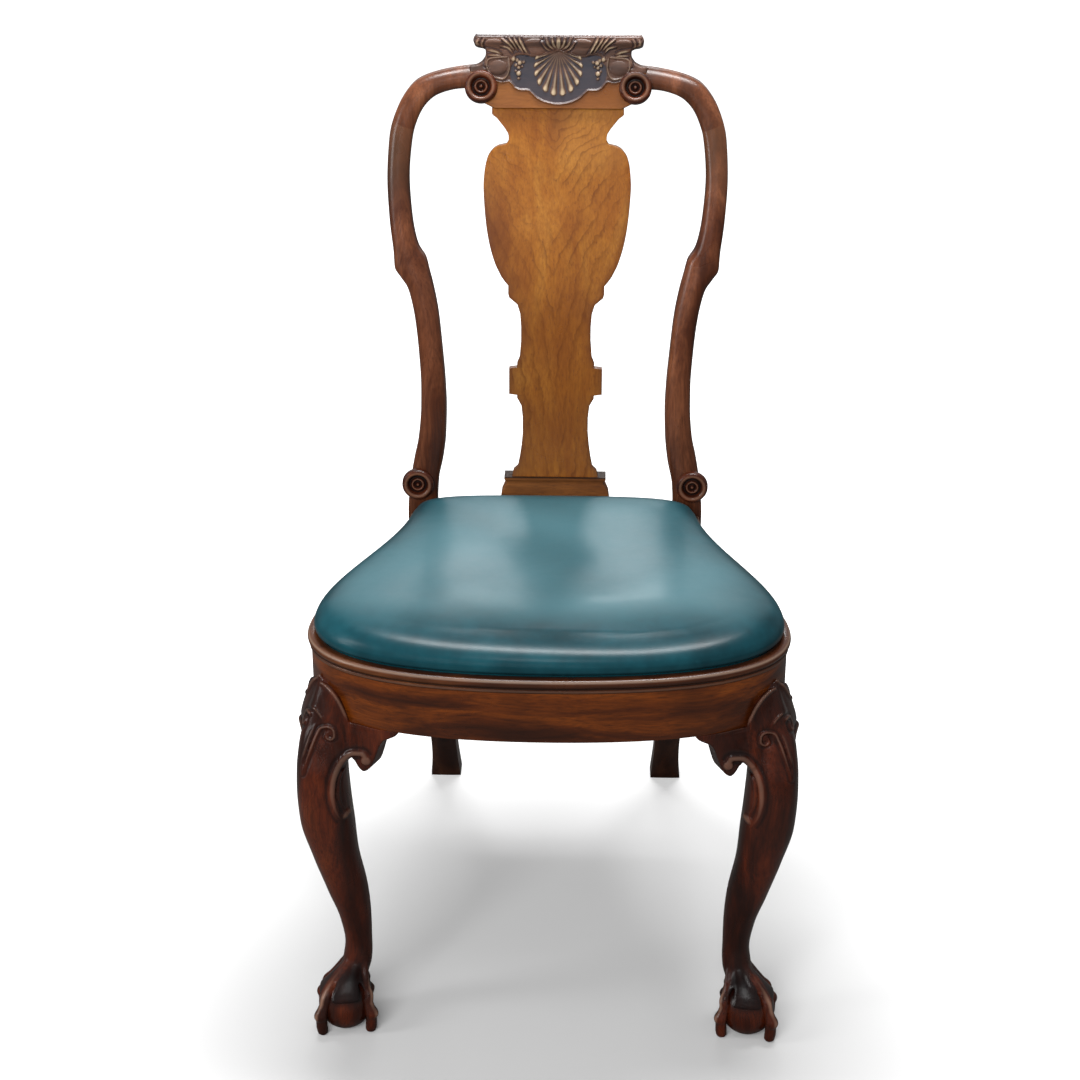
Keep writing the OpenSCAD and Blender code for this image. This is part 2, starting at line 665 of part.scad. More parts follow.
// Front leg: a stump that fills the corner of the seat frame, over a cabriole leg. A row of
// the leg is a height as a share of the rails' top, how far its middle has moved from the
// ankle to the foot, and to the knee across and in depth, its half width and half depth as
// shares of half the knee, and how square it is.
chamfer_d = 81;
chamfer_x = seat_x - rim_proud - rail_t;
ankle_in = 50;
ankle_d = 67;
knee_in = 20;
knee_d = 49;
foot_x = seat_x - foot_in;
ankle_x = seat_x - ankle_in;
knee_x = seat_x - knee_in;
ankle_share = ankle_w / knee_w;
leg_shares = [
    [0.07, 0.9, 0, 0, 0.5, 0.5, 2.2],
    [0.11, 0.61, 0, 0, 0.54, 0.54, 2.2],
    [0.155, 0.13, 0, 0, ankle_share * 1.08, ankle_share * 1.08, 2.2],
    [0.21, 0, 0, 0, ankle_share, ankle_share, 2.3],
    [0.28, 0, 0.067, 0.056, 0.57, 0.57, 2.4],
    [0.38, 0, 0.317, 0.333, 0.73, 0.74, 2.5],
    [0.49, 0, 0.667, 0.667, 0.82, 0.85, 2.6],
    [0.6, 0, 0.9, 0.944, 0.95, 0.95, 2.7],
    [0.67, 0, 0.967, 1, 0.94, 0.97, 2.7],
    [0.74, 0, 1, 0.722, 0.9, 1, 2.7],
    [0.8, 0, 0.933, 0.111, 0.88, 0.98, 2.8],
    [0.86, 0, 0.8, -0.389, 0.77, 0.82, 2.8],
    [0.91, 0, 0.733, -0.611, 0.57, 0.68, 2.8],
    [0.96, 0, 0.7, -0.833, 0.36, 0.45, 2.8]
];
leg_sides = 18;
leg_steps = 30;
function squared(v, n) = sign(v) * pow(abs(v), 2 / n);
function leg_middle(h) =
    let(foot = along(leg_shares, h, 1))
    [
        ankle_x + (foot_x - ankle_x) * foot + (knee_x - ankle_x) * along(leg_shares, h, 2),
        ankle_d + (foot_d - ankle_d) * foot + (knee_d - ankle_d) * along(leg_shares, h, 3)
    ];
function leg_ring(h) =
    let(mid = leg_middle(h), n = along(leg_shares, h, 6),
        rx = along(leg_shares, h, 4) * knee_w / 2, ry = along(leg_shares, h, 5) * knee_w / 2)
    [
        for (i = [0:leg_sides - 1])
        let(a = 360 * (i + 0.5) / leg_sides)
        [mid[0] + rx * squared(cos(a), n), front_y + mid[1] + ry * squared(sin(a), n), h * rail_top]
    ];
module cabriole() {
    low = leg_shares[0][0];
    high = leg_shares[len(leg_shares) - 1][0];
    skin([for (i = [0:leg_steps]) leg_ring(low + (high - low) * i / leg_steps)]);
}
// Claws and the webs between them: a row is the height as a share of the ball, how far along
// from the ankle to the ball its middle has moved, its reach from there as a share of the
// ball's radius, and its half thickness and half width as shares of the claw's
claw_shares = [
    [0.03, 1, 1.1, 0.66, 0.66], [0.17, 1, 1.17, 0.72, 0.72], [0.4, 1, 1.2, 0.79, 0.79],
    [0.63, 1, 1.12, 1, 0.92], [0.86, 0.88, 0.94, 0.79, 0.79], [1.12, 0.5, 0.62, 0.95, 0.89],
    [1.35, 0.12, 0.3, 0.6, 0.6]
];
web_shares = [
    [0.72, 1, 0.92, 0.33, 2.1], [0.8, 1, 0.86, 0.53, 2.04], [0.95, 0.85, 0.66, 0.6, 1.85],
    [1.12, 0.5, 0.5, 0.66, 1.5], [1.35, 0.12, 0.32, 0.6, 1.1]
];
// How far the foot turns out, as a share of a right angle
foot_turn_share = 0.08;
claw_steps = 14;
claw_sides = 8;
module claw(a, shares) {
    ankle = [ankle_x, front_y + ankle_d];
    ball = [foot_x, front_y + foot_d];
    ahead = [cos(a), sin(a)];
    beside = [-sin(a), cos(a)];
    low = shares[0][0];
    high = shares[len(shares) - 1][0];
    skin([
        for (i = [0:claw_steps])
        let(h = low + (high - low) * i / claw_steps,
            mid = ankle + (ball - ankle) * along(shares, h, 1),
            reach = along(shares, h, 2), thick = along(shares, h, 3), wide = along(shares, h, 4))
        [
            for (k = [0:claw_sides - 1])
            let(b = 360 * k / claw_sides,
                flat = mid + reach * ball_dia / 2 * ahead
                    + claw_dia / 2 * (thick * cos(b) * ahead + wide * sin(b) * beside))
            [flat[0], flat[1], h * ball_dia]
        ]
    ]);
}
module stump()
    intersection() {
        translate([0, 0, stump_bottom]) linear_extrude(rail_top - stump_bottom)
            polygon(seat_outline(rim_proud, rail_steps));
        translate([0, 0, stump_bottom]) linear_extrude(rail_top - stump_bottom) polygon([
            [stump_x, front_y], [seat_x, front_y], [seat_x, front_y + stump_d],
            [chamfer_x, front_y + stump_d], [stump_x, front_y + chamfer_d]
        ]);
    }
module front_leg()
    difference() {
        union() {
            stump();
            cabriole();
            translate([foot_x, front_y + foot_d, ball_dia / 2 - ball_flat])
                sphere(d = ball_dia, $fn = 32);
            for (k = [0:3]) {
                claw(90 * (k + 0.5 - foot_turn_share), claw_shares);
                claw(90 * (k - foot_turn_share), web_shares);
            }
        }
        front_tenon(glue_gap);
        side_front_tenon(glue_gap);
        translate([0, front_y - chair_d / 2, -ball_dia]) cube([seat_w, chair_d, ball_dia]);
    }
module right_front_leg()
    color("#4a1f10") front_leg();
module left_front_leg()
    color("#4a1f10") twin() front_leg();

// Knee bracket: an ear that curls under, glued to the stump and under the rail. Points are
// shares of its length from the stump and of the stump's drop.
front_bracket_swell = 13;
side_bracket_swell = 3;
bracket_share = [
    [0, 0], [1, 0], [0.92, 0.1], [0.83, 0.27], [0.72, 0.34], [0.64, 0.41], [0.58, 0.55], [0.54, 0.72],
    [0.5, 0.9], [0.45, 1], [0.39, 1.06], [0.31, 1.07], [0.24, 1.03], [0.19, 0.94], [0.17, 0.84],
    [0.13, 0.77], [0.06, 0.77], [0, 0.86]
];
bracket_steps = 10;
// Plan of a bracket from its thin end at u0 to its thick end at u1, where it stands out by
// the swell to meet the knee
module bracket_plan(u0, u1, swell)
    translate([0, 0, stump_bottom - stump_drop]) linear_extrude(2 * stump_drop + over)
        polygon(concat(
            [
                for (i = [0:bracket_steps])
                let(s = i / bracket_steps)
                edge(u0 + (u1 - u0) * s, rim_proud - swell * s * s)
            ],
            [
                for (i = [bracket_steps:-1:0])
                edge(u0 + (u1 - u0) * i / bracket_steps, rim_proud + bracket_t)
            ]
        ));
module front_bracket()
    intersection() {
        bracket_plan(0.3, 0.58, front_bracket_swell);
        translate([0, front_y + stump_d, 0]) rotate([90, 0, 0]) linear_extrude(2 * stump_d)
            polygon([
                for (p = bracket_share)
                [stump_x - p[0] * bracket_l, rail_bottom - p[1] * stump_drop]
            ]);
    }
module side_bracket()
    intersection() {
        bracket_plan(1.2, 0.9, side_bracket_swell);
        rotate([90, 0, 90]) linear_extrude(seat_w)
            polygon([
                for (p = bracket_share)
                [front_y + stump_d + p[0] * bracket_l, rail_bottom - p[1] * stump_drop]
            ]);
    }
module right_front_bracket()
    color("#4f2413") front_bracket();
module left_front_bracket()
    color("#4f2413") twin() front_bracket();
module right_side_bracket()
    color("#4f2413") side_bracket();
module left_side_bracket()
    color("#4f2413") twin() side_bracket();

// Corner blocks inside the rails, each held by two screws
block_l = 46;
block_z = [rail_bottom + rail_h * 0.12, rail_top - rail_h * 0.12];
inner = rim_proud + rail_t;
module inside_rails()
    translate([0, 0, block_z[0]]) linear_extrude(block_z[1] - block_z[0])
        polygon(concat(
            [for (i = [0:rail_steps / 2 - 1]) edge(2 * i / rail_steps, inner + glue_gap)],
            [for (i = [0:rail_steps]) edge(1 + i / rail_steps, inner + glue_gap)],
            [[0, front_y + seat_d]]
        ));
module front_block()
    difference() {
        intersection() {
            inside_rails();
            linear_extrude(seat_h) polygon([
                [stump_x - glue_gap, front_y + chamfer_d / 2],
                [stump_x - glue_gap, front_y + chamfer_d + glue_gap],
                [chamfer_x - glue_gap, front_y + stump_d + glue_gap],
                [seat_x, front_y + stump_d + glue_gap],
                [seat_x, front_y + stump_d + block_l],
                [chamfer_x, front_y + stump_d + block_l],
                [stump_x - block_l, front_y + chamfer_d],
                [stump_x - block_l, front_y + chamfer_d / 2]
            ]);
        }
        screw_cuts();
    }
module rear_block()
    difference() {
        intersection() {
            inside_rails();
            linear_extrude(seat_h) polygon([
                [seat_x, ledge_y - glue_gap], [post_in - block_l, ledge_y - glue_gap],
                [post_in - block_l, ledge_y - block_l / 4], [post_in, ledge_y - block_l],
                [seat_x, ledge_y - block_l]
            ]);
        }
        screw_cuts();
    }
module front_right_block()
    color("#8b6a43") front_block();
module front_left_block()
    color("#8b6a43") twin() front_block();
module rear_right_block()
    color("#8b6a43") rear_block();
module rear_left_block()
    color("#8b6a43") twin() rear_block();

// Where each screw's head sits, and the way that it points
screw_z = [rail_bottom + rail_h * 0.35, rail_bottom + rail_h * 0.65];
screws = [
    [[stump_x - block_l / 3, front_y + chamfer_d + block_l / 5, screw_z[0]], [90, 0, 0]],
    [[chamfer_x - block_l / 5, front_y + stump_d + block_l / 2, screw_z[1]], [0, 90, 0]],
    [[post_in - block_l / 2, ledge_y - block_l / 5, screw_z[0]], [-90, 0, 0]],
    [[post_in - block_l / 5, ledge_y - block_l / 2, screw_z[1]], [0, 90, 0]]
];
module screw_cuts()
    for (s = screws) translate(s[0]) rotate(s[1]) {
        cylinder(r = screw_r + glue_gap, h = screw_l + glue_gap, $fn = 24);
        translate([0, 0, -block_l])
            cylinder(r = screw_head_r + glue_gap, h = block_l + screw_head_h, $fn = 24);
    }
module screw_set()
    for (s = screws) translate(s[0]) rotate(s[1]) {
        cylinder(r = screw_r, h = screw_l, $fn = 24);
        cylinder(r = screw_head_r, h = screw_head_h, $fn = 24);
    }
module corner_block_screws()
    color("#b0903f") {
        screw_set();
        twin() screw_set();
    }

// Drop-in seat: four bars, joined at the corners by tenons, inside the leather's skirt
seat_in = rim_w + 3 * seat_gap;
bar_in = seat_in + leather_t + seat_gap;
bar_z = rail_top + seat_gap + leather_t + layer_gap;
bar_top = bar_z + bar_h;
front_bar_d = 84;
rear_bar_d = seat_d - bar_w * 0.75;
bar_tenon_l = 18;
function back_of(inset) = seat_back_gap + inset - seat_in;
module seat_plan(z0, z1, inset)
    translate([0, 0, z0]) linear_extrude(z1 - z0)
        polygon(seat_outline(inset, cushion_n, back_of(inset)));
module bar_tenon(gap) {
    x = seat_back_x - bar_in;
    front = front_y + front_bar_d - bar_tenon_l;
    rear = front_y + rear_bar_d + bar_tenon_l;
    block(
        [x - bar_w * 0.8 - gap, front - gap, bar_z + bar_h * 0.3 - gap],
        [x - bar_w * 0.3 + gap, rear + gap, bar_z + bar_h * 0.7 + gap]
    );
}
module seat_bar_front()
    color("#a98a5c") difference() {
        intersection() {
            seat_plan(bar_z, bar_top, bar_in);
            block([-seat_w, front_y, 0], [seat_w, front_y + front_bar_d, seat_h + bar_h]);
        }
        bar_tenon(glue_gap);
        twin() bar_tenon(glue_gap);
        tack_cuts();
    }
module seat_bar_rear()
    color("#a98a5c") difference() {
        intersection() {
            seat_plan(bar_z, bar_top, bar_in);
            block([-seat_w, front_y + rear_bar_d, 0], [seat_w, front_y + seat_d, seat_h + bar_h]);
        }
        bar_tenon(glue_gap);
        twin() bar_tenon(glue_gap);
        tack_cuts();
    }
module side_bar()
    difference() {
        union() {
            intersection() {
                seat_plan(bar_z, bar_top, bar_in);
                translate([0, 0, bar_z]) linear_extrude(bar_h) polygon([
                    [seat_x - bar_in - bar_w * 1.4, front_y + front_bar_d + layer_gap],
                    [seat_w, front_y + front_bar_d + layer_gap],
                    [seat_w, front_y + rear_bar_d - layer_gap],
                    [seat_back_x - bar_in - bar_w, front_y + rear_bar_d - layer_gap]
                ]);
            }
            bar_tenon(0);
        }
        tack_cuts();
    }
module seat_bar_right()
    color("#a98a5c") side_bar();
module seat_bar_left()
    color("#a98a5c") twin() side_bar();

// Webbing: strips that pass over and under each other, tacked on top of the bars
web_wave = (web_t + layer_gap) / 2;
web_mid_z = bar_top + web_wave + web_t / 2 + layer_gap;
web_span_x = seat_back_w * 0.74;
web_pitch_x = web_span_x / web_count;
web_first_d = front_bar_d + web_w * 0.75;
web_pitch_d = (rear_bar_d - front_bar_d - web_w * 0.5) / web_count;
web_samples = 8;
// Height of a strip's middle, with flat tops where it crosses the others
function web_height(turns) =
    web_mid_z + web_wave * max(-1, min(1, 2.4 * cos(180 * turns)));
// Section of a strip from s0 to s1, whose first crossing is at s_first
function web_section(s0, s1, s_first, pitch, flip) =
    let(n = ceil((s1 - s0) / pitch * web_samples), step = (s1 - s0) / n,
        line = [for (i = [0:n]) let(s = s0 + i * step) [s, web_height((s - s_first) / pitch + flip)]])
    concat(
        [for (p = line) [p[0], p[1] - web_t / 2]],
        [for (i = [n:-1:0]) [line[i][0], line[i][1] + web_t / 2]]
    );
web_front_d = front_bar_d * 0.5;
web_rear_d = seat_d - bar_w * 0.5;
web_side_x = seat_x - bar_in - bar_w * 0.4;
module webbing_lengthwise()
    color("#c9b184") for (i = [0:web_count - 1])
        translate([web_pitch_x * (i - (web_count - 1) / 2) - web_w / 2, 0, 0])
            rotate([90, 0, 90]) linear_extrude(web_w)
                polygon(web_section(
                    front_y + web_front_d, front_y + web_rear_d, front_y + web_first_d, web_pitch_d, i
                ));
module webbing_crosswise()
    color("#bfa577") intersection() {
        for (j = [0:web_count - 1])
            translate([0, front_y + web_first_d + web_pitch_d * j + web_w / 2, 0])
                rotate([90, 0, 0]) linear_extrude(web_w)
                    polygon(web_section(
                        -web_side_x, web_side_x, -web_pitch_x * (web_count - 1) / 2, web_pitch_x, j + 1
                    ));
        seat_plan(bar_top, bar_top + bar_h, bar_in + bar_w * 0.3);
    }
hessian_z = web_mid_z + web_wave + web_t / 2 + layer_gap;
module hessian()
    color("#b89a68") seat_plan(hessian_z, hessian_z + hessian_t, bar_in + bar_w * 0.12);

// Cushion: rows of inset and height up the side to where the crown starts, then rings that
// shrink towards the middle. The cushion swells over the rim, whose drawn-in line it meets.
swell = 7;
skirt_shares = [
    [0, 0.03], [0.6, 0.07], [0.92, 0.17], [1, 0.3], [0.86, 0.44], [0.4, 0.58], [-0.5, 0.7]
];
crown_shares = [0.9, 0.76, 0.6, 0.42, 0.22, 0.06];
crown_mid_d = seat_d * 0.52;
cushion_n = 18;
function ring_at(inset, back, z) =
    [for (p = seat_outline(inset, cushion_n, back)) [p[0], p[1], z]];
function side_ring(row, thick) =
    ring_at(
        seat_in - swell * row[0] + thick, seat_back_gap + swell * max(0, -row[0]) + thick,
        seat_h + row[1] * crown_h - thick * row[1]
    );
function crown_rings(thick, shares) =
    let(last = skirt_shares[len(skirt_shares) - 1], mid = [0, front_y + crown_mid_d, 0])
    [
        for (k = shares)
        [
            for (q = side_ring(last, thick))
            let(p = [q[0], q[1], 0])
            mid + (p - mid) * k
                + [0, 0, seat_h + crown_h * (1 - (1 - last[1]) * pow(k, 2.4)) - thick]
        ]
    ];
// The hidden inner face of the leather takes fewer rings
lining_shares = [0.06, 0.42, 0.76];
lining_rows = [6, 3, 0];
flange_w = 33;
flange_z = rail_top + seat_gap;
module leather_skin()
    skin(concat(
        crown_rings(leather_t, lining_shares),
        [for (i = lining_rows) side_ring(skirt_shares[i], leather_t)],
        [
            for (p = [[leather_t, leather_t], [flange_w, leather_t], [flange_w, 0], [0, 0]])
            ring_at(seat_in + p[0], back_of(seat_in + p[0]), flange_z + p[1])
        ],
        [for (row = skirt_shares) side_ring(row, 0)], crown_rings(0, crown_shares)
    ));
module leather_cover()
    color("#1f5a66") difference() {
        leather_skin();
        tack_cuts();
    }
function reversed(list) = [for (i = [len(list) - 1:-1:0]) list[i]];
stuffing_z = hessian_z + hessian_t + layer_gap;
module seat_stuffing() {
    thick = leather_t + seat_gap;
    color("#d8cfb8") skin(concat(
        [ring_at(bar_in + thick, back_of(bar_in + thick), stuffing_z)],
        [for (i = reversed(lining_rows)) if (i > 0) side_ring(skirt_shares[i], thick)],
        reversed(crown_rings(thick, lining_shares))
    ));
}
// Tacks up through the leather's flange into the bars
tack_u = [for (i = [0:tack_count / 2 - 1]) 1.8 * (i + 0.5) / (tack_count / 2)];
tack_inset = seat_in + flange_w - 1.4 * tack_r;
tack_shank_r = 0.9;
tack_shank_l = 8;
module each_tack()
    for (u = tack_u, m = [0, 1]) mirror([m, 0, 0]) {
        p = edge(u, tack_inset);
        translate([p[0], p[1], flange_z]) children();
    }
module tack_cuts()
    each_tack() cylinder(r = tack_shank_r + layer_gap, h = tack_shank_l + layer_gap, $fn = 16);
module leather_tacks()
    color("#3a3a38") each_tack() {
        cylinder(r = tack_shank_r, h = tack_shank_l, $fn = 16);
        translate([0, 0, -tack_h]) cylinder(r1 = tack_r * 0.7, r2 = tack_r, h = tack_h, $fn = 24);
    }

crest_rail();
left_back_post();
right_back_post();
splat();
splat_shoe();
upper_left_roundel();
upper_right_roundel();
lower_left_roundel();
lower_right_roundel();
rear_seat_rail();
front_seat_rail();
left_seat_rail();
right_seat_rail();
front_rim();
left_rim();
right_rim();
left_front_leg();
right_front_leg();
left_front_bracket();
right_front_bracket();
left_side_bracket();
right_side_bracket();
front_left_block();
front_right_block();
rear_left_block();
rear_right_block();
corner_block_screws();
seat_bar_front();
seat_bar_rear();
seat_bar_left();
seat_bar_right();
webbing_lengthwise();
webbing_crosswise();
hessian();
seat_stuffing();
leather_cover();
leather_tacks();
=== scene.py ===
"""Hall chair: the walnut frame, its carving and the leather seat, built round the CAD frame."""

import bpy
import numpy as np
from mathutils import Matrix, Vector


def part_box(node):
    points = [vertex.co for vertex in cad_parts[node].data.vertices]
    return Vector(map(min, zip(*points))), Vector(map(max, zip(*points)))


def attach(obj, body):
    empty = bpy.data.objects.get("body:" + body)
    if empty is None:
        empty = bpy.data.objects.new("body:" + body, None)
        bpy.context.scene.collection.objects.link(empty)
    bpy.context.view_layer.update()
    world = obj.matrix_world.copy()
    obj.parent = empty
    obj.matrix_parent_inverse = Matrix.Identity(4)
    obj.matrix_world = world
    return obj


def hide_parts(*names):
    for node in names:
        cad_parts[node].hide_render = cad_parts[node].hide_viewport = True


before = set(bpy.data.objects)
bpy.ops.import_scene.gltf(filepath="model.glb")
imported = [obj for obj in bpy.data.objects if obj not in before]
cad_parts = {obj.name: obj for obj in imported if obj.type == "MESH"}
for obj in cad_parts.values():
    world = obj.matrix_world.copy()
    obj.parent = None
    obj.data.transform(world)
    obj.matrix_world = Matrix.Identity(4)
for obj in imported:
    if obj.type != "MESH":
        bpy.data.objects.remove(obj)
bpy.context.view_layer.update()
MM = 0.001

# The back posts: one length of walnut each side, from the floor up past the seat to the joint
# in the hoop. Sawn from the plank, rounded on the front face and polished by hand.
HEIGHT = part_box("crest_rail")[1][2]
FRONT_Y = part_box("front_rim")[0][1]
SEAT_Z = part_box("front_rim")[1][2]
RIM_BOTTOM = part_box("front_rim")[0][2]
RAIL_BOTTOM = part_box("right_seat_rail")[0][2]
SEAT_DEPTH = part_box("right_rim")[1][1] - FRONT_Y
HOOP_WIDEST = 0.9993
BACK_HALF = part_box("right_back_post")[1][0] / HOOP_WIDEST
FOOT_BACK_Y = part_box("right_back_post")[1][1]
REAR_LEG_T = 34 * MM
HOOP_T = 24 * MM
HOOP_TOP = 975 * MM
BACK_LEAN = 131 * MM
LEAN_SHARES = [
    (0.47, 0), (0.582, 0.034), (0.679, 0.145), (0.776, 0.336), (0.854, 0.55), (0.945, 0.824),
    (1, 1),
]
RAKE_SHARES = [(0, 1), (0.5, 0.44), (1, 0)]
# Station, then the outer and the inner point as shares of the hoop's half width and height
HOOP_SHARES = [
    (0, 0.85, 0, 0.65, 0), (1, 0.833, 0.058, 0.667, 0.058), (2, 0.854, 0.194, 0.68, 0.194),
    (3, 0.888, 0.369, 0.718, 0.369), (4, 0.891, 0.45, 0.718, 0.45),
    (5, 0.879, 0.485, 0.71, 0.485), (6, 0.852, 0.518, 0.677, 0.518),
    (7, 0.825, 0.543, 0.662, 0.543), (8, 0.806, 0.582, 0.655, 0.582),
    (9, 0.804, 0.611, 0.66, 0.611), (10, 0.816, 0.652, 0.677, 0.652),
    (11, 0.84, 0.693, 0.699, 0.693), (12, 0.879, 0.723, 0.731, 0.725),
    (13, 0.917, 0.734, 0.75, 0.739), (14, 0.955, 0.746, 0.772, 0.755),
    (15, 0.961, 0.763, 0.818, 0.77), (16, 0.985, 0.801, 0.853, 0.801),
    (17, 0.999, 0.846, 0.871, 0.846), (18, 0.988, 0.889, 0.854, 0.887),
    (19, 0.937, 0.923, 0.825, 0.907), (20, 0.825, 0.951, 0.777, 0.924),
    (21, 0.704, 0.96, 0.699, 0.936), (22, 0.573, 0.965, 0.573, 0.942),
    (23, 0.437, 0.968, 0.437, 0.943),
]
ROUND_SHARES = [(0, 0.03), (4, 0.03), (6, 0.42), (23, 0.45)]
JOINT_U = 18.5


def along(rows, u):
    """Monotone cubic through the rows of a table: the first column is the place, and the
    rest are the values there. Slopes are the harmonic mean of the rises on either side."""
    rows = np.asarray(rows, float)
    place, value = rows[:, 0], rows[:, 1:]
    width = np.diff(place)
    rise = np.diff(value, axis=0) / width[:, None]
    both = rise[:-1] * rise[1:]
    mean = np.where(both > 0, 2 * both / np.where(both > 0, rise[:-1] + rise[1:], 1), 0)
    slope = np.vstack([rise[:1], mean, rise[-1:]])
    u = np.clip(np.asarray(u, float), place[0], place[-1])
    i = np.clip(np.searchsorted(place, u, side="right") - 1, 0, len(width) - 1)
    s = ((u - place[i]) / width[i])[..., None]
    bend = slope[i] * s * (1 - s) ** 2 - slope[i + 1] * s * s * (1 - s)
    return (value[i] * (1 + 2 * s) * (1 - s) ** 2 + value[i + 1] * s * s * (3 - 2 * s)
            + width[i][..., None] * bend)


def back_y(z):
    """Front face of the back at a height: raked below the rails, upright at the seat, then
    leaning away."""
    z = np.asarray(z, float)
    face = FRONT_Y + SEAT_DEPTH
    rake = (FOOT_BACK_Y - REAR_LEG_T - face) * along(RAKE_SHARES, z / RAIL_BOTTOM)[..., 0]
    lean = BACK_LEAN * along(LEAN_SHARES, z / HEIGHT)[..., 0]
    return face + np.where(z < RAIL_BOTTOM, rake, lean)


def linear(hex_colour):
    """Linear light of an sRGB hex colour, with alpha 1."""
    srgb = np.array([int(hex_colour[i:i + 2], 16) for i in (1, 3, 5)]) / 255
    light = np.where(srgb <= 0.04045, srgb / 12.92, ((srgb + 0.055) / 1.055) ** 2.4)
    return (*light, 1.0)


def feed(material, node, inputs):
    """Gives a node's inputs, by name or number, their values, or links them to sockets."""
    for name, value in inputs.items():
        if isinstance(value, bpy.types.NodeSocket):
            material.node_tree.links.new(value, node.inputs[name])
        else:
            node.inputs[name].default_value = value


def add(material, kind, inputs=None, stops=(), **settings):
    """Adds a node of a kind to a material. Settings that start with a capital are inputs, as
    in feed, with _ for a space; others are attributes. stops are a colour ramp's places and
    hex colours."""
    node = material.node_tree.nodes.new(kind)
    fed = dict(inputs or {})
    for name, value in settings.items():
        if name[0].isupper():
            fed[name.replace("_", " ")] = value
        else:
            setattr(node, name, value)
    feed(material, node, fed)
    if stops:
        elements = node.color_ramp.elements
        while len(elements) < len(stops):
            elements.new(0.5)
        for element, (place, colour) in zip(elements, stops):
            element.position = place
            element.color = linear(colour)
    return node


def new_material(name):
    """A material, its shader, and the Object coordinates that its patterns are drawn on."""
    made = bpy.data.materials.new(name)
    made.use_nodes = True
    place = add(made, "ShaderNodeTexCoord").outputs["Object"]
    return made, made.node_tree.nodes["Principled BSDF"], place


def polished_wood(name, stops, grain=(1, 1, 0.08), figure=34 * MM, streak=2.2 * MM,
                  smudge="#2A1408", smudge_share=0.5, gloss=0.34, wear_and_highlight="#B98A66", dirt_and_shade="#0D0705",
                  bump=0.25):
    """Walnut, sawn, shaped and wax polished: a long wavy figure, fine dark pores along the
    grain, cloudy stain, and where the mesh has a worn attribute, dark
    hollows and pale ridges, partly dirt and rubbed wear and partly painted shade and painted
    highlights. grain is how much the pattern is drawn out along each axis, and figure and
    streak are how wide its waves and its streaks are."""
    wood, shader, place = new_material(name)
    drawn = add(wood, "ShaderNodeMapping", Vector=place, Scale=grain).outputs["Vector"]
    sway = add(wood, "ShaderNodeTexNoise", Vector=place, Scale=0.35 / figure, Detail=1.0)
    swayed = add(wood, "ShaderNodeVectorMath", {
        0: sway.outputs["Color"], 1: (figure * 0.5,) * 3, 2: drawn}, operation="MULTIPLY_ADD")
    lines = swayed.outputs["Vector"]
    figured = add(wood, "ShaderNodeTexNoise", Vector=lines, Scale=1 / figure, Detail=3.0,
                  Roughness=0.55, Distortion=0.6).outputs["Fac"]
    streaks = add(wood, "ShaderNodeTexNoise", Vector=lines, Scale=1 / streak, Detail=2.0,
                  Roughness=0.6).outputs["Fac"]
    pores = add(wood, "ShaderNodeTexNoise", Vector=drawn, Scale=1.6 / streak, Detail=2.0,
                Roughness=0.7).outputs["Fac"]
    cloud = add(wood, "ShaderNodeTexNoise", Vector=place, Scale=0.5 / figure,
                Detail=2.0).outputs["Fac"]
    worn = add(wood, "ShaderNodeAttribute", attribute_name="worn").outputs["Fac"]
    colour = add(wood, "ShaderNodeValToRGB", Fac=figured, stops=stops).outputs["Color"]
    # Over the figure: streaks, pores, cloudy stain, dirt and painted shade in hollows, and
    # rubbed ridges with painted highlights. Each goes from none at the first level to its full
    # share at the second.
    for level, none, full, share, tint in (
            (streaks, 0.35, 0.72, 0.55, stops[0][1]), (pores, 0.58, 0.75, 0.6, smudge),
            (cloud, 0.48, 0.78, smudge_share, smudge), (worn, 0.0, -1.0, 0.9, dirt_and_shade),
            (worn, 0.25, 1.0, 0.8, wear_and_highlight)):
        tone = add(wood, "ShaderNodeMapRange", Value=level, From_Min=none, From_Max=full,
                   To_Max=share).outputs["Result"]
        colour = add(wood, "ShaderNodeMix", {0: tone, 6: colour, 7: linear(tint)},
                     data_type="RGBA").outputs[2]
    dull = add(wood, "ShaderNodeMapRange", Value=cloud, From_Min=0.3, From_Max=0.7,
               To_Min=gloss - 0.06, To_Max=gloss + 0.1).outputs["Result"]
    raised = add(wood, "ShaderNodeBump", Height=pores, Strength=bump, Distance=0.15 * MM)
    feed(wood, shader, {"Base Color": colour, "Roughness": dull, "IOR": 1.5,
                        "Normal": raised.outputs["Normal"]})
    return wood


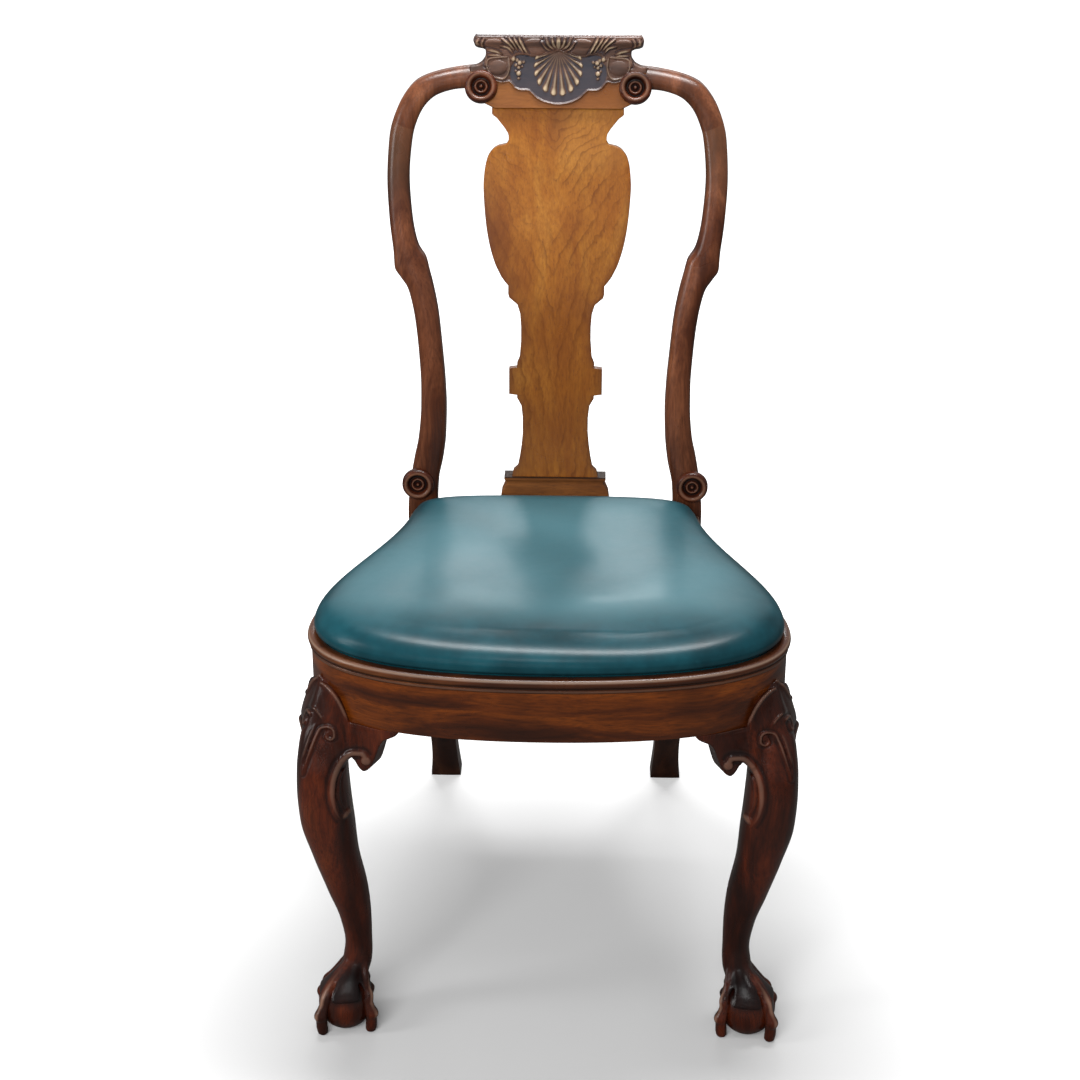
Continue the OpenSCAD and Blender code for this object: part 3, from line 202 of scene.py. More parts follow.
def cathedral(wood, apex_z, tone, rings_per_metre=62.0, rise_rings=6.0):
    """Growth rings of a board sawn near the pith, drawn in a darker tone: nested Vs about the
    chair's middle, wide at a height and steeper below it. The ring's number is the distance
    from the middle times the rings in a metre, less an exponential of the height."""
    shader = wood.node_tree.nodes["Principled BSDF"]
    colour = shader.inputs["Base Color"].links[0].from_socket
    place = add(wood, "ShaderNodeTexCoord").outputs["Object"]
    sway = add(wood, "ShaderNodeTexNoise", Vector=place, Scale=1 / (38 * MM), Detail=3.0,
               Roughness=0.6).outputs["Color"]
    bent = add(wood, "ShaderNodeVectorMath", {0: sway, 1: (22 * MM, 0, 46 * MM), 2: place},
               operation="MULTIPLY_ADD")
    at = add(wood, "ShaderNodeSeparateXYZ", Vector=bent.outputs["Vector"]).outputs
    off = add(wood, "ShaderNodeMath", {0: at["X"], 1: 8 * MM}, operation="SUBTRACT").outputs[0]
    off = add(wood, "ShaderNodeMath", {0: off}, operation="ABSOLUTE").outputs[0]
    rise = add(wood, "ShaderNodeMapRange", Value=at["Z"], From_Min=apex_z,
               From_Max=apex_z + 130 * MM, clamp=False).outputs["Result"]
    rise = add(wood, "ShaderNodeMath", {0: rise}, operation="EXPONENT").outputs[0]
    rise = add(wood, "ShaderNodeMath", {0: rise, 1: rise_rings}, operation="MULTIPLY").outputs[0]
    turns = add(wood, "ShaderNodeMath", {0: off, 1: -rings_per_metre, 2: rise},
                operation="MULTIPLY_ADD").outputs[0]
    wave = add(wood, "ShaderNodeMath", {0: turns}, operation="FRACT").outputs[0]
    line = add(wood, "ShaderNodeValToRGB", Fac=wave, stops=[
        (0.0, "#000000"), (0.62, "#282828"), (0.93, "#FFFFFF"), (1.0, "#000000")]).outputs["Color"]
    fade = add(wood, "ShaderNodeTexNoise", Vector=place, Scale=1 / (55 * MM), Detail=2.0)
    fade = add(wood, "ShaderNodeMapRange", Value=fade.outputs["Fac"], From_Min=0.35,
               From_Max=0.65, To_Min=0.1, To_Max=0.55).outputs["Result"]
    drawn = add(wood, "ShaderNodeMath", {0: line, 1: fade}, operation="MULTIPLY").outputs[0]
    colour = add(wood, "ShaderNodeMix", {0: drawn, 6: colour, 7: linear(tone)},
                 data_type="RGBA").outputs[2]
    feed(wood, shader, {"Base Color": colour})


def finish_piece(name, points, faces, material, body, replaced=(), worn=None, crease=40,
                 record_slot=None):
    """A mesh from arrays of points and faces, smooth but for edges sharper than crease degrees,
    with its material, its body, the nodes that it stands for, how worn each point is and how
    much painted shade or highlight it has, and the record's slot, which is not used."""
    mesh = bpy.data.meshes.new(name)
    mesh.from_pydata(np.asarray(points).tolist(), [], faces)
    if worn is not None:
        mesh.attributes.new("worn", "FLOAT", "POINT").data.foreach_set(
            "value", np.asarray(worn, np.float32).ravel())
    mesh.shade_smooth()
    mesh.set_sharp_from_angle(angle=np.radians(crease))
    mesh.materials.append(material)
    piece = bpy.data.objects.new(name, mesh)
    bpy.context.scene.collection.objects.link(piece)
    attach(piece, body)
    if replaced:
        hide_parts(*replaced)
    return piece


def tube_faces(rings, around, first=0):
    """Quads between closed rings whose points are numbered from first, and a face over each
    end. Rings turn anticlockwise as seen from where they lead."""
    j, i = np.meshgrid(np.arange(rings - 1), np.arange(around), indexing="ij")
    a, b = first + j * around + i, first + j * around + (i + 1) % around
    faces = np.stack([a, b, b + around, a + around], -1).reshape(-1, 4).tolist()
    last = first + (rings - 1) * around
    return [*faces, list(range(first, first + around))[::-1], list(range(last, last + around))]


def ring_piece(name, rings, *settings, **more):
    """A piece whose surface is closed rings, with the settings of finish_piece."""
    return finish_piece(name, rings.reshape(-1, 3), tube_faces(*rings.shape[:2]), *settings,
                        **more)


SIDES = (("right", 1), ("left", -1))


def on_side(rings, sign):
    """Rings made for the chair's right as they are, or for -1 moved to its left and turned,
    so that they still face out."""
    return rings[:, ::sign] * (sign, 1, 1)


def smooth_step(v, low, high):
    """0 below low, 1 above high, and an S curve between."""
    s = np.clip((v - low) / (high - low), 0, 1)
    return s * s * (3 - 2 * s)


def hoop_depth(z):
    """Thickness of the hoop front to back, from the leg's at the seat to the crest's."""
    share = np.clip((z - SEAT_Z) / (HOOP_TOP - SEAT_Z), 0, 1)
    return REAR_LEG_T + (HOOP_T - REAR_LEG_T) * share


def hoop_rings(u0, u1, steps_per_station=6, front_points=25):
    """Sections of the hoop from station u0 to u1: half an ellipse in front, whose height is
    the round share, and a flat back with small chamfers."""
    u = np.linspace(u0, u1, int(np.ceil((u1 - u0) * steps_per_station)) + 1)
    share = along(HOOP_SHARES, u)
    outer = share[:, :2] * (BACK_HALF, HEIGHT)
    inner = share[:, 2:] * (BACK_HALF, HEIGHT)
    a = np.linspace(np.pi, 2 * np.pi, front_points)
    front_r = along(ROUND_SHARES, u)
    c = 0.09  # the chamfer's share of the width
    across = np.concatenate([(1 + np.cos(a)) / 2, [1, 1 - c / 2, 1 - c, c, c / 2, 0]])
    back = np.array([1 - c, 1 - c * 0.3, 1, 1, 1 - c * 0.3, 1 - c])
    deep = np.hstack([front_r * (1 + np.sin(a)), np.tile(back, (len(u), 1))])
    flat = inner[:, None] + (outer - inner)[:, None] * across[None, :, None]
    y = back_y(flat[..., 1]) + hoop_depth(flat[..., 1]) * deep
    return np.stack([flat[..., 0], y, flat[..., 1]], -1)


stile_walnut = polished_wood(
    "stile_walnut", [(0.3, "#34170C"), (0.46, "#5E311C"), (0.6, "#7C482E"), (0.78, "#955C3C")],
    grain=(1, 1, 0.07), smudge="#2A1009", smudge_share=0.3, gloss=0.3, dirt_and_shade="#0A0403")
post = hoop_rings(0, JOINT_U)
for side, sign in SIDES:
    # Paler near the joint, partly rubbed by hands and partly a painted highlight, and darker towards
    # the floor as painted shade
    z = post[:, ::sign, 2]
    pale_top_and_painted_shade = 0.35 * smooth_step(z, 0.68, 0.92) - 0.8 * np.clip((0.6 - z) / 0.2, 0, 1)
    ring_piece(f"{side}_post", on_side(post, sign), stile_walnut, "chair_frame",
               (f"{side}_back_post",), worn=pale_top_and_painted_shade, record_slot="dark_walnut")

# The crest: carved from one block of walnut between the two posts, with a scallop shell in a
# sunk, dark ground, leaves under a rolled lip, and a veneered strip below that meets the splat.
CREST_BOTTOM = 952 * MM
CREST_HALF = 101 * MM
CREST_T = 27 * MM
LIP_H = 15 * MM
LIP_PROUD = 4 * MM
LIP_TOP = HEIGHT + 2.4 * MM
# Height above the crest's bottom as a share, and half width as a share of the lip's
CREST_SIDE_SHARES = [
    (0, 0.79), (0.04, 0.86), (0.12, 1.0), (0.3, 1.06), (0.55, 1.06), (0.58, 0.98),
    (0.64, 0.905), (0.72, 0.868), (0.78, 0.872), (0.815, 0.905), (0.835, 0.97), (0.87, 1.005),
    (0.92, 1.015), (0.965, 1.005), (1, 0.985),
]
CREST_STEPS = (170, 420)
ARM_END_U = 22.6


def path_through(points, samples=60):
    """Smooth path through points, by the monotone cubic over their running length."""
    points = np.asarray(points, float)
    run = np.concatenate([[0], np.cumsum(np.linalg.norm(np.diff(points, axis=0), axis=1))])
    return along(np.column_stack([run / run[-1], points]), np.linspace(0, 1, samples))


def to_path(x, z, path):
    """Distance of each point of a grid from a path, how far along it lies, and its side."""
    start, step = path[:-1], np.diff(path, axis=0)
    dx, dz = x[..., None] - start[:, 0], z[..., None] - start[:, 1]
    reach = np.clip((dx * step[:, 0] + dz * step[:, 1]) / (step ** 2).sum(1), 0, 1)
    gap = np.hypot(dx - reach * step[:, 0], dz - reach * step[:, 1])
    near = gap.argmin(-1)[..., None]
    gap, reach, across = (np.take_along_axis(values, near, -1)[..., 0] for values in
                          (gap, reach, step[:, 0] * dz - step[:, 1] * dx))
    return gap, (near[..., 0] + reach) / len(step), np.sign(across)


def ridge(x, z, points, width, height, taper=(0.3, 0.3)):
    """A rounded ridge along a path: half a cosine across, thinner towards its tapered ends."""
    gap, place, _ = to_path(x, z, path_through(points, 40))
    ends = np.minimum(1, np.minimum(place / taper[0], (1 - place) / taper[1]))
    wide = width / 2 * (0.35 + 0.65 * np.sqrt(np.clip(ends, 0, 1)))
    return height * np.where(gap < wide, np.cos(gap / wide * np.pi / 2), 0) * (0.4 + 0.6 * ends)


def bead(x, z, at, r, height):
    """A low dome of radius r."""
    far = np.hypot(x - at[0], z - at[1]) / r
    return height * np.sqrt(np.clip(1 - far ** 2, 0, 1))


# Millimetres across from the middle and up from the crest's bottom, right half
BORDER = [(0, 4.4), (6, 4.8), (16, 7), (26, 11.6), (32, 16.6), (37, 20), (45, 20), (52, 22.6),
          (56, 27), (60, 29.6), (66, 28.4), (73, 29.6), (79, 33.4), (84, 39.5)]
GROUND_SIDE = [(52, 22.6), (57, 30), (59, 38), (57.5, 46), (52, 53)]
FESTOON = [(0, 64), (7, 62), (14, 59.5), (22, 57.8), (30, 57.6), (38, 59.6), (46, 60), (53, 58),
           (59, 53.5)]
# Smooth swellings: middle, half width, half height and how far they stand out
SWELLINGS = [((28, 68.5), 16, 9.5, 2.6), ((78, 71), 12, 6.5, 1.8), ((72.5, 45), 11, 8.5, 2.4)]
SIDE_FRAME = [(60, 57), (58.6, 46), (61, 37), (67, 32), (75, 33.5), (82, 39), (86, 47),
              (85, 53), (76, 56), (66, 56.5), (60, 57)]
# Leaves: the middle line, the width and how far it stands out
LEAVES = [
    ([(0, 65), (1, 71), (0.5, 80)], 5, 2.6), ([(2, 65.5), (6, 71), (8, 79)], 4.6, 2.4),
    ([(5, 65), (11, 69.5), (15, 78)], 4.4, 2.2), ([(8, 63), (14, 66), (20, 74)], 3.6, 1.8),
    ([(48, 80), (43.5, 70.5), (37, 60)], 4.4, 3.0), ([(54.5, 80), (48.5, 70.5), (42, 61)], 3.8, 2.6),
    ([(61, 80), (54, 72), (49.5, 64)], 3.6, 2.4), ([(68, 78), (59, 71), (53, 64)], 4, 2.6),
    ([(70, 69), (61, 67), (55, 61.5)], 3.8, 2.4), ([(68, 59.5), (75, 62.5), (86, 64.5)], 4.4, 2.4),
    ([(66, 56.5), (75, 58.5), (86, 58.5)], 3.4, 2.0), ([(89, 78), (92, 71), (90, 65)], 4, 1.8),
    ([(86, 60), (87, 54), (88, 47)], 3.4, 1.4), ([(96, 77), (98, 72), (94.5, 69)], 5, 2.2),
]
# Husks: the middle, the radius and how far it stands out
HUSKS = [
    ((54, 54.5), 3.0, 2.6), ((49.5, 53), 2.4, 2.2), ((46.5, 50.2), 3.0, 2.8), ((41.8, 51), 2.0, 1.8),
    ((51, 47.5), 2.2, 2.0), ((47.5, 45), 2.4, 2.2), ((43.5, 46), 1.6, 1.6), ((47.5, 38.5), 3.2, 3.0),
    ((51, 41), 1.6, 1.6), ((47.5, 33), 2.0, 1.8),
]
# Shell: where its rods meet, how far they spread to a side in degrees, and their number
SHELL_HINGE = (0, 63)
SHELL_SPREAD = 75
RIBS = 12
# How far the ground is sunk, and the field inside the border raised
GROUND_DEPTH = 3.4
FIELD_H = 0.9


def crest_relief(x, z):
    """Height of the carving in millimetres over the crest's face, and its wear and painted light
    from -1, a dark hollow, to 1, a rubbed ridge: painted highlights on the shell's hinge and
    tips, and a painted shadow line beside the border. x and z are millimetres from the crest's
    bottom middle."""
    side = np.abs(x)
    border = path_through(BORDER, 90)
    gap, _, _ = to_path(side, z, border)
    inside = np.where(z > np.interp(side, border[:, 0], border[:, 1]), 1.0, 0.0)
    side_x = np.interp(z, [p[1] for p in GROUND_SIDE], [p[0] for p in GROUND_SIDE])
    festoon = path_through(FESTOON, 60)
    top = np.interp(side, festoon[:, 0], festoon[:, 1])
    within = smooth_step(side_x - side, -0.5, 1.8) * smooth_step(top - z, -0.5, 1.8)
    within = within * smooth_step(gap, 1.4, 3.0) * inside
    height = -GROUND_DEPTH * within + FIELD_H * inside
    # Border: a rolled bead along the scalloped line, with a quirk inside it
    height += 0.9 * np.exp(-(gap / 0.9) ** 2) - 0.7 * np.exp(-((gap - 2.6) / 0.9) ** 2) * inside
    # Shell: rods that fan from the hinge and swell to rounded tips, with flutes between them
    # that start a little out from the hinge
    dx, dz = x - SHELL_HINGE[0], SHELL_HINGE[1] - z
    far, angle = np.hypot(dx, dz), np.degrees(np.arctan2(dx, dz))
    reach = 27 + 23.5 * np.clip(np.cos(np.radians(angle)), 0, 1) ** 1.6
    turn = (angle + SHELL_SPREAD) / (2 * SHELL_SPREAD) * (RIBS - 1)
    lobe = np.abs(np.cos(np.pi * turn)) ** 0.9
    tip = reach * (0.94 + 0.06 * lobe)
    fan = smooth_step(SHELL_SPREAD + 7 - np.abs(angle), 0, 5)
    body = smooth_step(tip - far, -0.4, 2.2) * fan
    rod = np.clip(far / reach, 0, 1)
    flute = 0.85 * smooth_step(rod, 0.16, 0.5)
    rise = (2.6 + 2.9 * smooth_step(rod, 0.1, 0.85)) * (1 - flute * (1 - lobe))
    height = np.where(body > 0, np.maximum(height, body * rise - GROUND_DEPTH), height)
    on_shell = body * (z < SHELL_HINGE[1] + 1)
    # Leaf crown over the hinge, and leaves that trail to both sides under the lip
    carved = np.zeros_like(x)
    for at, half, tall, proud in SWELLINGS:
        far = np.clip(1 - ((side - at[0]) / half) ** 2 - ((z - at[1]) / tall) ** 2, 0, 1)
        height = np.maximum(height, (FIELD_H + proud * np.sqrt(far)) * (far > 0))
    for points, width, tall in LEAVES:
        carved = np.maximum(carved, ridge(side, z, points, width, tall))
    carved = np.maximum(carved, ridge(side, z, SIDE_FRAME, 3.4, 1.6, (0.02, 0.02)))
    for at, r, tall in HUSKS:
        carved = np.maximum(carved, bead(side, z, at, r, tall))
    festoon_gap, _, _ = to_path(side, z, festoon)
    carved = np.maximum(carved, 1.3 * np.exp(-(festoon_gap / 1.1) ** 2))
    height = height + carved
    worn = 0.95 * (lobe - 0.4) * on_shell * smooth_step(rod, 0.2, 0.6)
    # Darker flutes between the rods, and a painted highlight on the smooth hinge
    worn = worn - 0.85 * on_shell * (1 - lobe) + 0.42 * on_shell * (1 - smooth_step(rod, 0.2, 0.5))
    # The sunk ground takes the dark colour: dirt, with a painted blue-grey sheen
    worn = worn - 0.85 * within * (1 - on_shell)
    hollow = carved_hollow(side, z) * (carved < 0.3) * (1 - on_shell)
    height = height - 1.2 * hollow
    worn = np.where(carved > 0.4, np.maximum(worn, 0.34 * (carved - 0.4)), worn - 0.6 * hollow)
    # The bead of the border kept a little paler, and a painted shadow line beside it
    worn = worn + 0.2 * np.exp(-(gap / 0.6) ** 2) - 0.6 * np.exp(-((gap - 1.4) / 0.8) ** 2)
    # Painted highlights on the rounded tips of the rods
    tips = on_shell * smooth_step(rod, 0.78, 0.92) * lobe
    return height, np.clip(worn + 0.6 * tips, -1, 1), inside


def carved_hollow(side, z):
    """Cuts beside the leaves, 1 where they are deepest."""
    cut = np.zeros_like(side)
    for points, width, _ in LEAVES:
        gap, place, _ = to_path(side, z, path_through(points, 40))
        cut = np.maximum(cut, np.exp(-((gap - width * 0.62) / 0.8) ** 2) * (place > 0.04))
    return cut


def crest_surface():
    """The crest as closed rings up its height: a dense front with the carving, plain sides and
    a plain back. The front leans with the back of the chair and ends in the proud lip, and the
    rings tilt towards the top, where the crest slopes down to the back."""
    rows, columns = CREST_STEPS
    share = np.linspace(0, 1, rows)
    z = CREST_BOTTOM + (LIP_TOP - CREST_BOTTOM) * share
    half = CREST_HALF * along(CREST_SIDE_SHARES, share)[..., 0]
    s = np.linspace(-1, 1, columns)
    x = half[:, None] * s[None]
    zz = np.repeat(z[:, None], columns, 1)
    height, worn, inside = crest_relief(x / MM, (zz - CREST_BOTTOM) / MM)
    below_lip = smooth_step(LIP_TOP - zz, 0.9 * MM, 2 * MM)
    edge = smooth_step(1 - np.abs(s)[None], 0, 0.02)
    height = height * below_lip * edge * MM
    eased = np.sqrt(np.clip(1 - np.clip(1 - (LIP_TOP - zz) / (1.8 * MM), 0, 1) ** 2, 0, 1))
    lip = LIP_PROUD * 1.5 * eased * smooth_step(LIP_H - (LIP_TOP - zz), 0, LIP_H * 0.6)
    near_end = np.clip(np.abs(s) - 0.94, 0, 1) / 0.06
    round_end = 6 * MM * (1 - np.sqrt(np.clip(1 - near_end ** 2, 0, 1)))
    y = back_y(zz) - height - lip + round_end[None]
    front = np.stack([x, y, zz], -1)
    worn = np.where(below_lip > 0.5, worn, -0.3)
    behind = back_y(z) + CREST_T
    sides = []
    for sign, places in ((1, (0.35, 0.7, 1)), (-1, (1, 0.7, 0.35))):
        for p in places:
            deep = (behind - y[:, -1]) * p
            sides.append(np.stack([sign * half, y[:, -1] + deep, z - 0.42 * deep * share ** 2], -1))
    back = np.stack(sides, 1)
    rings = np.concatenate([front, back], 1)
    worn = np.concatenate([worn, np.zeros(back.shape[:2])], 1)
    veneer = np.concatenate([1 - inside, np.zeros(back.shape[:2])], 1)
    return rings, worn, veneer


# The carving's dark colour, in its ground and hollows, is dirt with a painted blue-grey sheen in it
carved_walnut = polished_wood(
    "carved_walnut", [(0.3, "#412F28"), (0.5, "#6B4C3E"), (0.65, "#8A6352"), (0.8, "#A17963")],
    grain=(0.15, 1, 1), smudge="#2A2322", smudge_share=0.3, gloss=0.36, wear_and_highlight="#CDB594",
    dirt_and_shade="#343944")
rings, crest_worn, crest_veneer = crest_surface()
crest = ring_piece("crest", rings, carved_walnut, "chair_frame", ("crest_rail",),
                   worn=crest_worn, record_slot="dark_walnut")
arm = hoop_rings(JOINT_U, ARM_END_U)
# The arms are a little paler all over, as the posts near the joint: partly rubbed, partly a painted
# highlight
for side, sign in SIDES:
    ring_piece(f"{side}_crest_arm", on_side(arm, sign), stile_walnut, "chair_frame",
               worn=np.full(arm.shape[:2], 0.28), record_slot="dark_walnut")

# The roundels: four turned walnut bosses set on dowels, two on the crest and two on the
# posts above the seat, each a rolled bead round a sunk ring, a finer bead and a button.
ROUNDEL_R = 19.75 * MM
ROUNDEL_H = 9 * MM
ROUNDEL_SEAT = 1.5 * MM
# Radius and height as shares, then the tone from dark to pale, darkest in the sunk rings
ROUNDEL_SHARES = [
    (0, 0.74, 0.5), (0.07, 0.7, 0.3), (0.125, 0.48, -0.7), (0.2, 0.36, -1), (0.26, 0.5, -0.3),
    (0.33, 0.66, 0.5), (0.4, 0.6, 0.1), (0.46, 0.36, -0.9), (0.53, 0.34, -1), (0.58, 0.52, -0.3),
    (0.66, 0.84, 0.35), (0.76, 0.98, 0.5), (0.87, 0.94, 0.25), (0.955, 0.76, 0), (0.995, 0.5, 0),
    (1, 0.2, -0.3), (1.001, 0, 0),
]


def roundel_rings(x, z):
    """Circles of the turned profile, from the rim at the back round to the button, standing on
    the leaning face of the back at x and z."""
    place = np.linspace(1.001, 0.004, 74)
    rise = along(ROUNDEL_SHARES, place)
    a = np.linspace(0, 2 * np.pi, 73)[:-1]
    lean = np.arctan((back_y(z + 16 * MM) - back_y(z - 16 * MM)) / (32 * MM))
    across = ROUNDEL_R * place[:, None] * np.cos(a)
    up = ROUNDEL_R * place[:, None] * np.sin(a)
    out = ROUNDEL_H * rise[:, :1] - ROUNDEL_SEAT
    rings = np.stack([
        x + across, back_y(z) + up * np.sin(lean) - out * np.cos(lean),
        z + up * np.cos(lean) + out * np.sin(lean)], -1)
    return rings, np.repeat(rise[:, 1:], len(a), 1)


turned_walnut = polished_wood(
    "turned_walnut", [(0.3, "#2A0F08"), (0.5, "#4E2313"), (0.66, "#6B331C"), (0.8, "#7E4327")],
    grain=(0.3, 1, 1), figure=16 * MM, smudge="#170A06", smudge_share=0.4, gloss=0.26,
    wear_and_highlight="#B4866A", dirt_and_shade="#0C0606")
# How far each pair stands from the middle and above the floor
for pair, x, z in (("upper", 92.5 * MM, HOOP_TOP), ("lower", 170.5 * MM, 504 * MM)):
    for side, sign in reversed(SIDES):
        rings, roundel_worn = roundel_rings(sign * x, z)
        ring_piece(f"{pair}_{side}_boss", rings, turned_walnut, "chair_frame",
                   (f"{pair}_{side}_roundel",), worn=roundel_worn, crease=60,
                   record_slot="dark_walnut")

# The splat: a board of figured walnut cut to a vase, curved to the sitter's back, with eased
# edges. It stands in a moulded shoe on the rear rail and in a groove under the crest.
SHOE_H = 48 * MM
SPLAT_BOTTOM = SEAT_Z + SHOE_H
SPLAT_HALF = 89 * MM
SPLAT_T = 9 * MM
SPLAT_SET = 5 * MM
BOARD_EASE = 0.8 * MM
# Share of the half width, share of the visible height
SPLAT_SHARES = [
    (0.6, 0), (0.58, 0.018), (0.52, 0.03), (0.495, 0.055), (0.47, 0.09), (0.452, 0.13),
    (0.452, 0.175), (0.47, 0.21), (0.53, 0.232), (0.53, 0.24), (0.64, 0.243), (0.64, 0.315),
    (0.53, 0.318), (0.53, 0.328), (0.495, 0.345), (0.477, 0.39), (0.477, 0.43), (0.49, 0.465),
    (0.53, 0.49), (0.64, 0.508), (0.655, 0.518), (0.655, 0.54), (0.7, 0.55), (0.755, 0.565),
]
VASE_SHARES = [
    (0.565, 0.755), (0.6, 0.84), (0.65, 0.915), (0.7, 0.96), (0.76, 0.99), (0.8, 1),
    (0.84, 0.985), (0.87, 0.95), (0.893, 0.87), (0.902, 0.79), (0.906, 0.69),
]
SPLAT_EAR_SHARES = [
    (0.664, 0.914), (0.664, 0.926), (0.673, 0.933), (0.716, 0.946), (0.771, 0.959),
    (0.827, 0.972), (0.872, 0.978), (0.893, 0.982), (0.893, 1),
]


def board_rings(half, front, z, thickness, ease, columns=24):
    """A board's sections up its height, from its half width, front and height there: flat in
    front and behind, with all four corners eased by a quarter circle."""
    quarter = np.linspace(0, np.pi / 2, 5)
    centres = [(1, -1, -np.pi / 2), (1, 1, 0), (-1, 1, np.pi / 2), (-1, -1, np.pi)]
    flat = np.linspace(-1, 1, columns)[1:-1]
    across = [flat[None] * (half[:, None] - ease)]
    deep = [np.zeros((len(half), len(flat)))]
    for side, back, start in centres:
        a = start + quarter
        across.append(side * (half[:, None] - ease) + ease * np.cos(a))
        middle = ease if back < 0 else thickness - ease
        deep.append(np.tile(middle + ease * np.sin(a), (len(half), 1)))
    across, deep = np.concatenate(across, 1), np.concatenate(deep, 1)
    return np.stack([across, front[:, None] + deep, np.repeat(z[:, None], across.shape[1], 1)], -1)


def refined(rows, steps=4):
    """A table with each span between its rows cut into even steps."""
    rows = np.array(rows)
    s = np.linspace(0, 1, steps + 1)[:-1, None]
    return np.concatenate([(rows[:-1, None] * (1 - s) + rows[1:, None] * s).reshape(-1, 2),
                           rows[-1:]])


vase_u = np.linspace(VASE_SHARES[0][0], VASE_SHARES[-1][0], 70)[1:]
vase = np.column_stack([along(VASE_SHARES, vase_u)[:, 0], vase_u])
outline = np.concatenate([refined(SPLAT_SHARES), vase, SPLAT_EAR_SHARES])
splat_z = SPLAT_BOTTOM + outline[:, 1] * (CREST_BOTTOM - SPLAT_BOTTOM)
rings = board_rings(outline[:, 0] * SPLAT_HALF, back_y(splat_z) + SPLAT_SET, splat_z, SPLAT_T,
                    BOARD_EASE)
splat_walnut = polished_wood(
    "splat_walnut", [(0.26, "#743D0F"), (0.42, "#925419"), (0.56, "#A56621"), (0.72, "#B0742B")],
    grain=(1, 1, 0.16), figure=46 * MM, streak=2.6 * MM, smudge="#5A3020", smudge_share=0.35,
    gloss=0.32, wear_and_highlight="#C8924E", dirt_and_shade="#4E2C22", bump=0.15)
cathedral(splat_walnut, 0.88, "#5A2C0E")
# Darker along both edges, most on the viewer's left, and towards the seat; faded at the top
from_edge = (1 - np.abs(rings[..., 0]) / rings[..., 0].max(1)[:, None]) * SPLAT_HALF
stained = np.exp(-from_edge / np.where(rings[..., 0] < 0, 16 * MM, 8 * MM))
stained = stained * smooth_step(0.9 - rings[..., 2], 0, 0.05)
stained = stained + 0.4 * smooth_step(0.78 - rings[..., 2], 0, 0.08)
faded = 0.4 * smooth_step(rings[..., 2], 0.82, 0.91) * smooth_step(rings[..., 0], -0.06, 0.02)
ring_piece("vase_splat", rings, splat_walnut, "chair_frame", ("splat",),
           worn=faded - 0.55 * stained, record_slot="splat_walnut")
strip_walnut = polished_wood(
    "strip_walnut", [(0.3, "#75441F"), (0.5, "#8F582A"), (0.7, "#A06835")], grain=(0.16, 1, 1),
    figure=40 * MM, smudge="#5A3020", smudge_share=0.4, gloss=0.32, dirt_and_shade="#3A1E12")
# The strip under the crest's carving is a veneer of its own
crest.data.materials.append(strip_walnut)
face_veneer = np.zeros(len(crest.data.polygons), np.int32)
quads = (crest_veneer > 0.5)[:-1]
face_veneer[:quads.size] = quads.ravel()
crest.data.polygons.foreach_set("material_index", face_veneer)

# The shoe: a walnut block on the rear rail, its front and ends moulded in to a neck under a
# small top edge, with a slot for the splat's tongue. It is darker and duller than the splat.
# Share of the half width, share of the height
SHOE_SHARES = [(1, 0), (1, 0.35), (0.98, 0.55), (0.92, 0.74), (0.885, 0.82), (0.885, 0.86),
               (0.93, 0.93), (0.93, 1)]
SHOE_HALF = 68 * MM
SHOE_T = 26 * MM
shoe_front = FRONT_Y + SEAT_DEPTH + SPLAT_SET - SHOE_T * 0.15
wide, up = refined(SHOE_SHARES).T
rings = board_rings(wide * SHOE_HALF, shoe_front + (1 - wide) * SHOE_T, SEAT_Z + up * SHOE_H,
                    SHOE_T - (1 - wide).max() * SHOE_T, BOARD_EASE)
shoe_walnut = polished_wood(
    "shoe_walnut", [(0.26, "#4A2812"), (0.42, "#6B3D1A"), (0.56, "#7C4A20"), (0.72, "#8A5628")],
    grain=(0.16, 1, 1), figure=46 * MM, streak=2.6 * MM, smudge="#3A2014", smudge_share=0.35,
    gloss=0.62, dirt_and_shade="#241208")
# Its top edge round the splat is painted dark: painted shade
ring_piece("shoe", rings, shoe_walnut, "chair_frame", ("splat_shoe",),
           worn=np.where(rings[..., 2] > SEAT_Z + 0.97 * SHOE_H, -1, 0),
           record_slot="dark_walnut")

# The seat rails and their rim: walnut rails tenoned into the legs, and a separate moulding on
# top, a rolled bead over a fine one, whose top edge is pale, partly rubbed by use and partly a
# painted highlight, with painted shade under the bead and a dark quirk.
SEAT_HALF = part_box("right_rim")[1][0]
SEAT_BACK_HALF = 181 * MM
CORNER_D = 130 * MM
SIDE_D = SEAT_DEPTH - CORNER_D
RIM_PROUD = 4 * MM
RIM_W = 14 * MM
RAIL_T = 30 * MM
BOW_CURVE = np.array([
    (0, FRONT_Y), (SEAT_HALF * 0.71, FRONT_Y), (SEAT_HALF, FRONT_Y + CORNER_D * 0.38),
    (SEAT_HALF, FRONT_Y + CORNER_D)])
SIDE_CURVE = np.array([
    (SEAT_HALF, FRONT_Y + CORNER_D), (SEAT_HALF, FRONT_Y + CORNER_D + SIDE_D * 0.3),
    (SEAT_BACK_HALF, FRONT_Y + SEAT_DEPTH - SIDE_D * 0.4), (SEAT_BACK_HALF, FRONT_Y + SEAT_DEPTH)])


def cubic(p0, p1, p2, p3, t):
    """Point of a cubic curve with four control points, at t from 0 to 1."""
    return p0 * (1 - t) ** 3 + p1 * 3 * t * (1 - t) ** 2 + p2 * 3 * t * t * (1 - t) + p3 * t ** 3


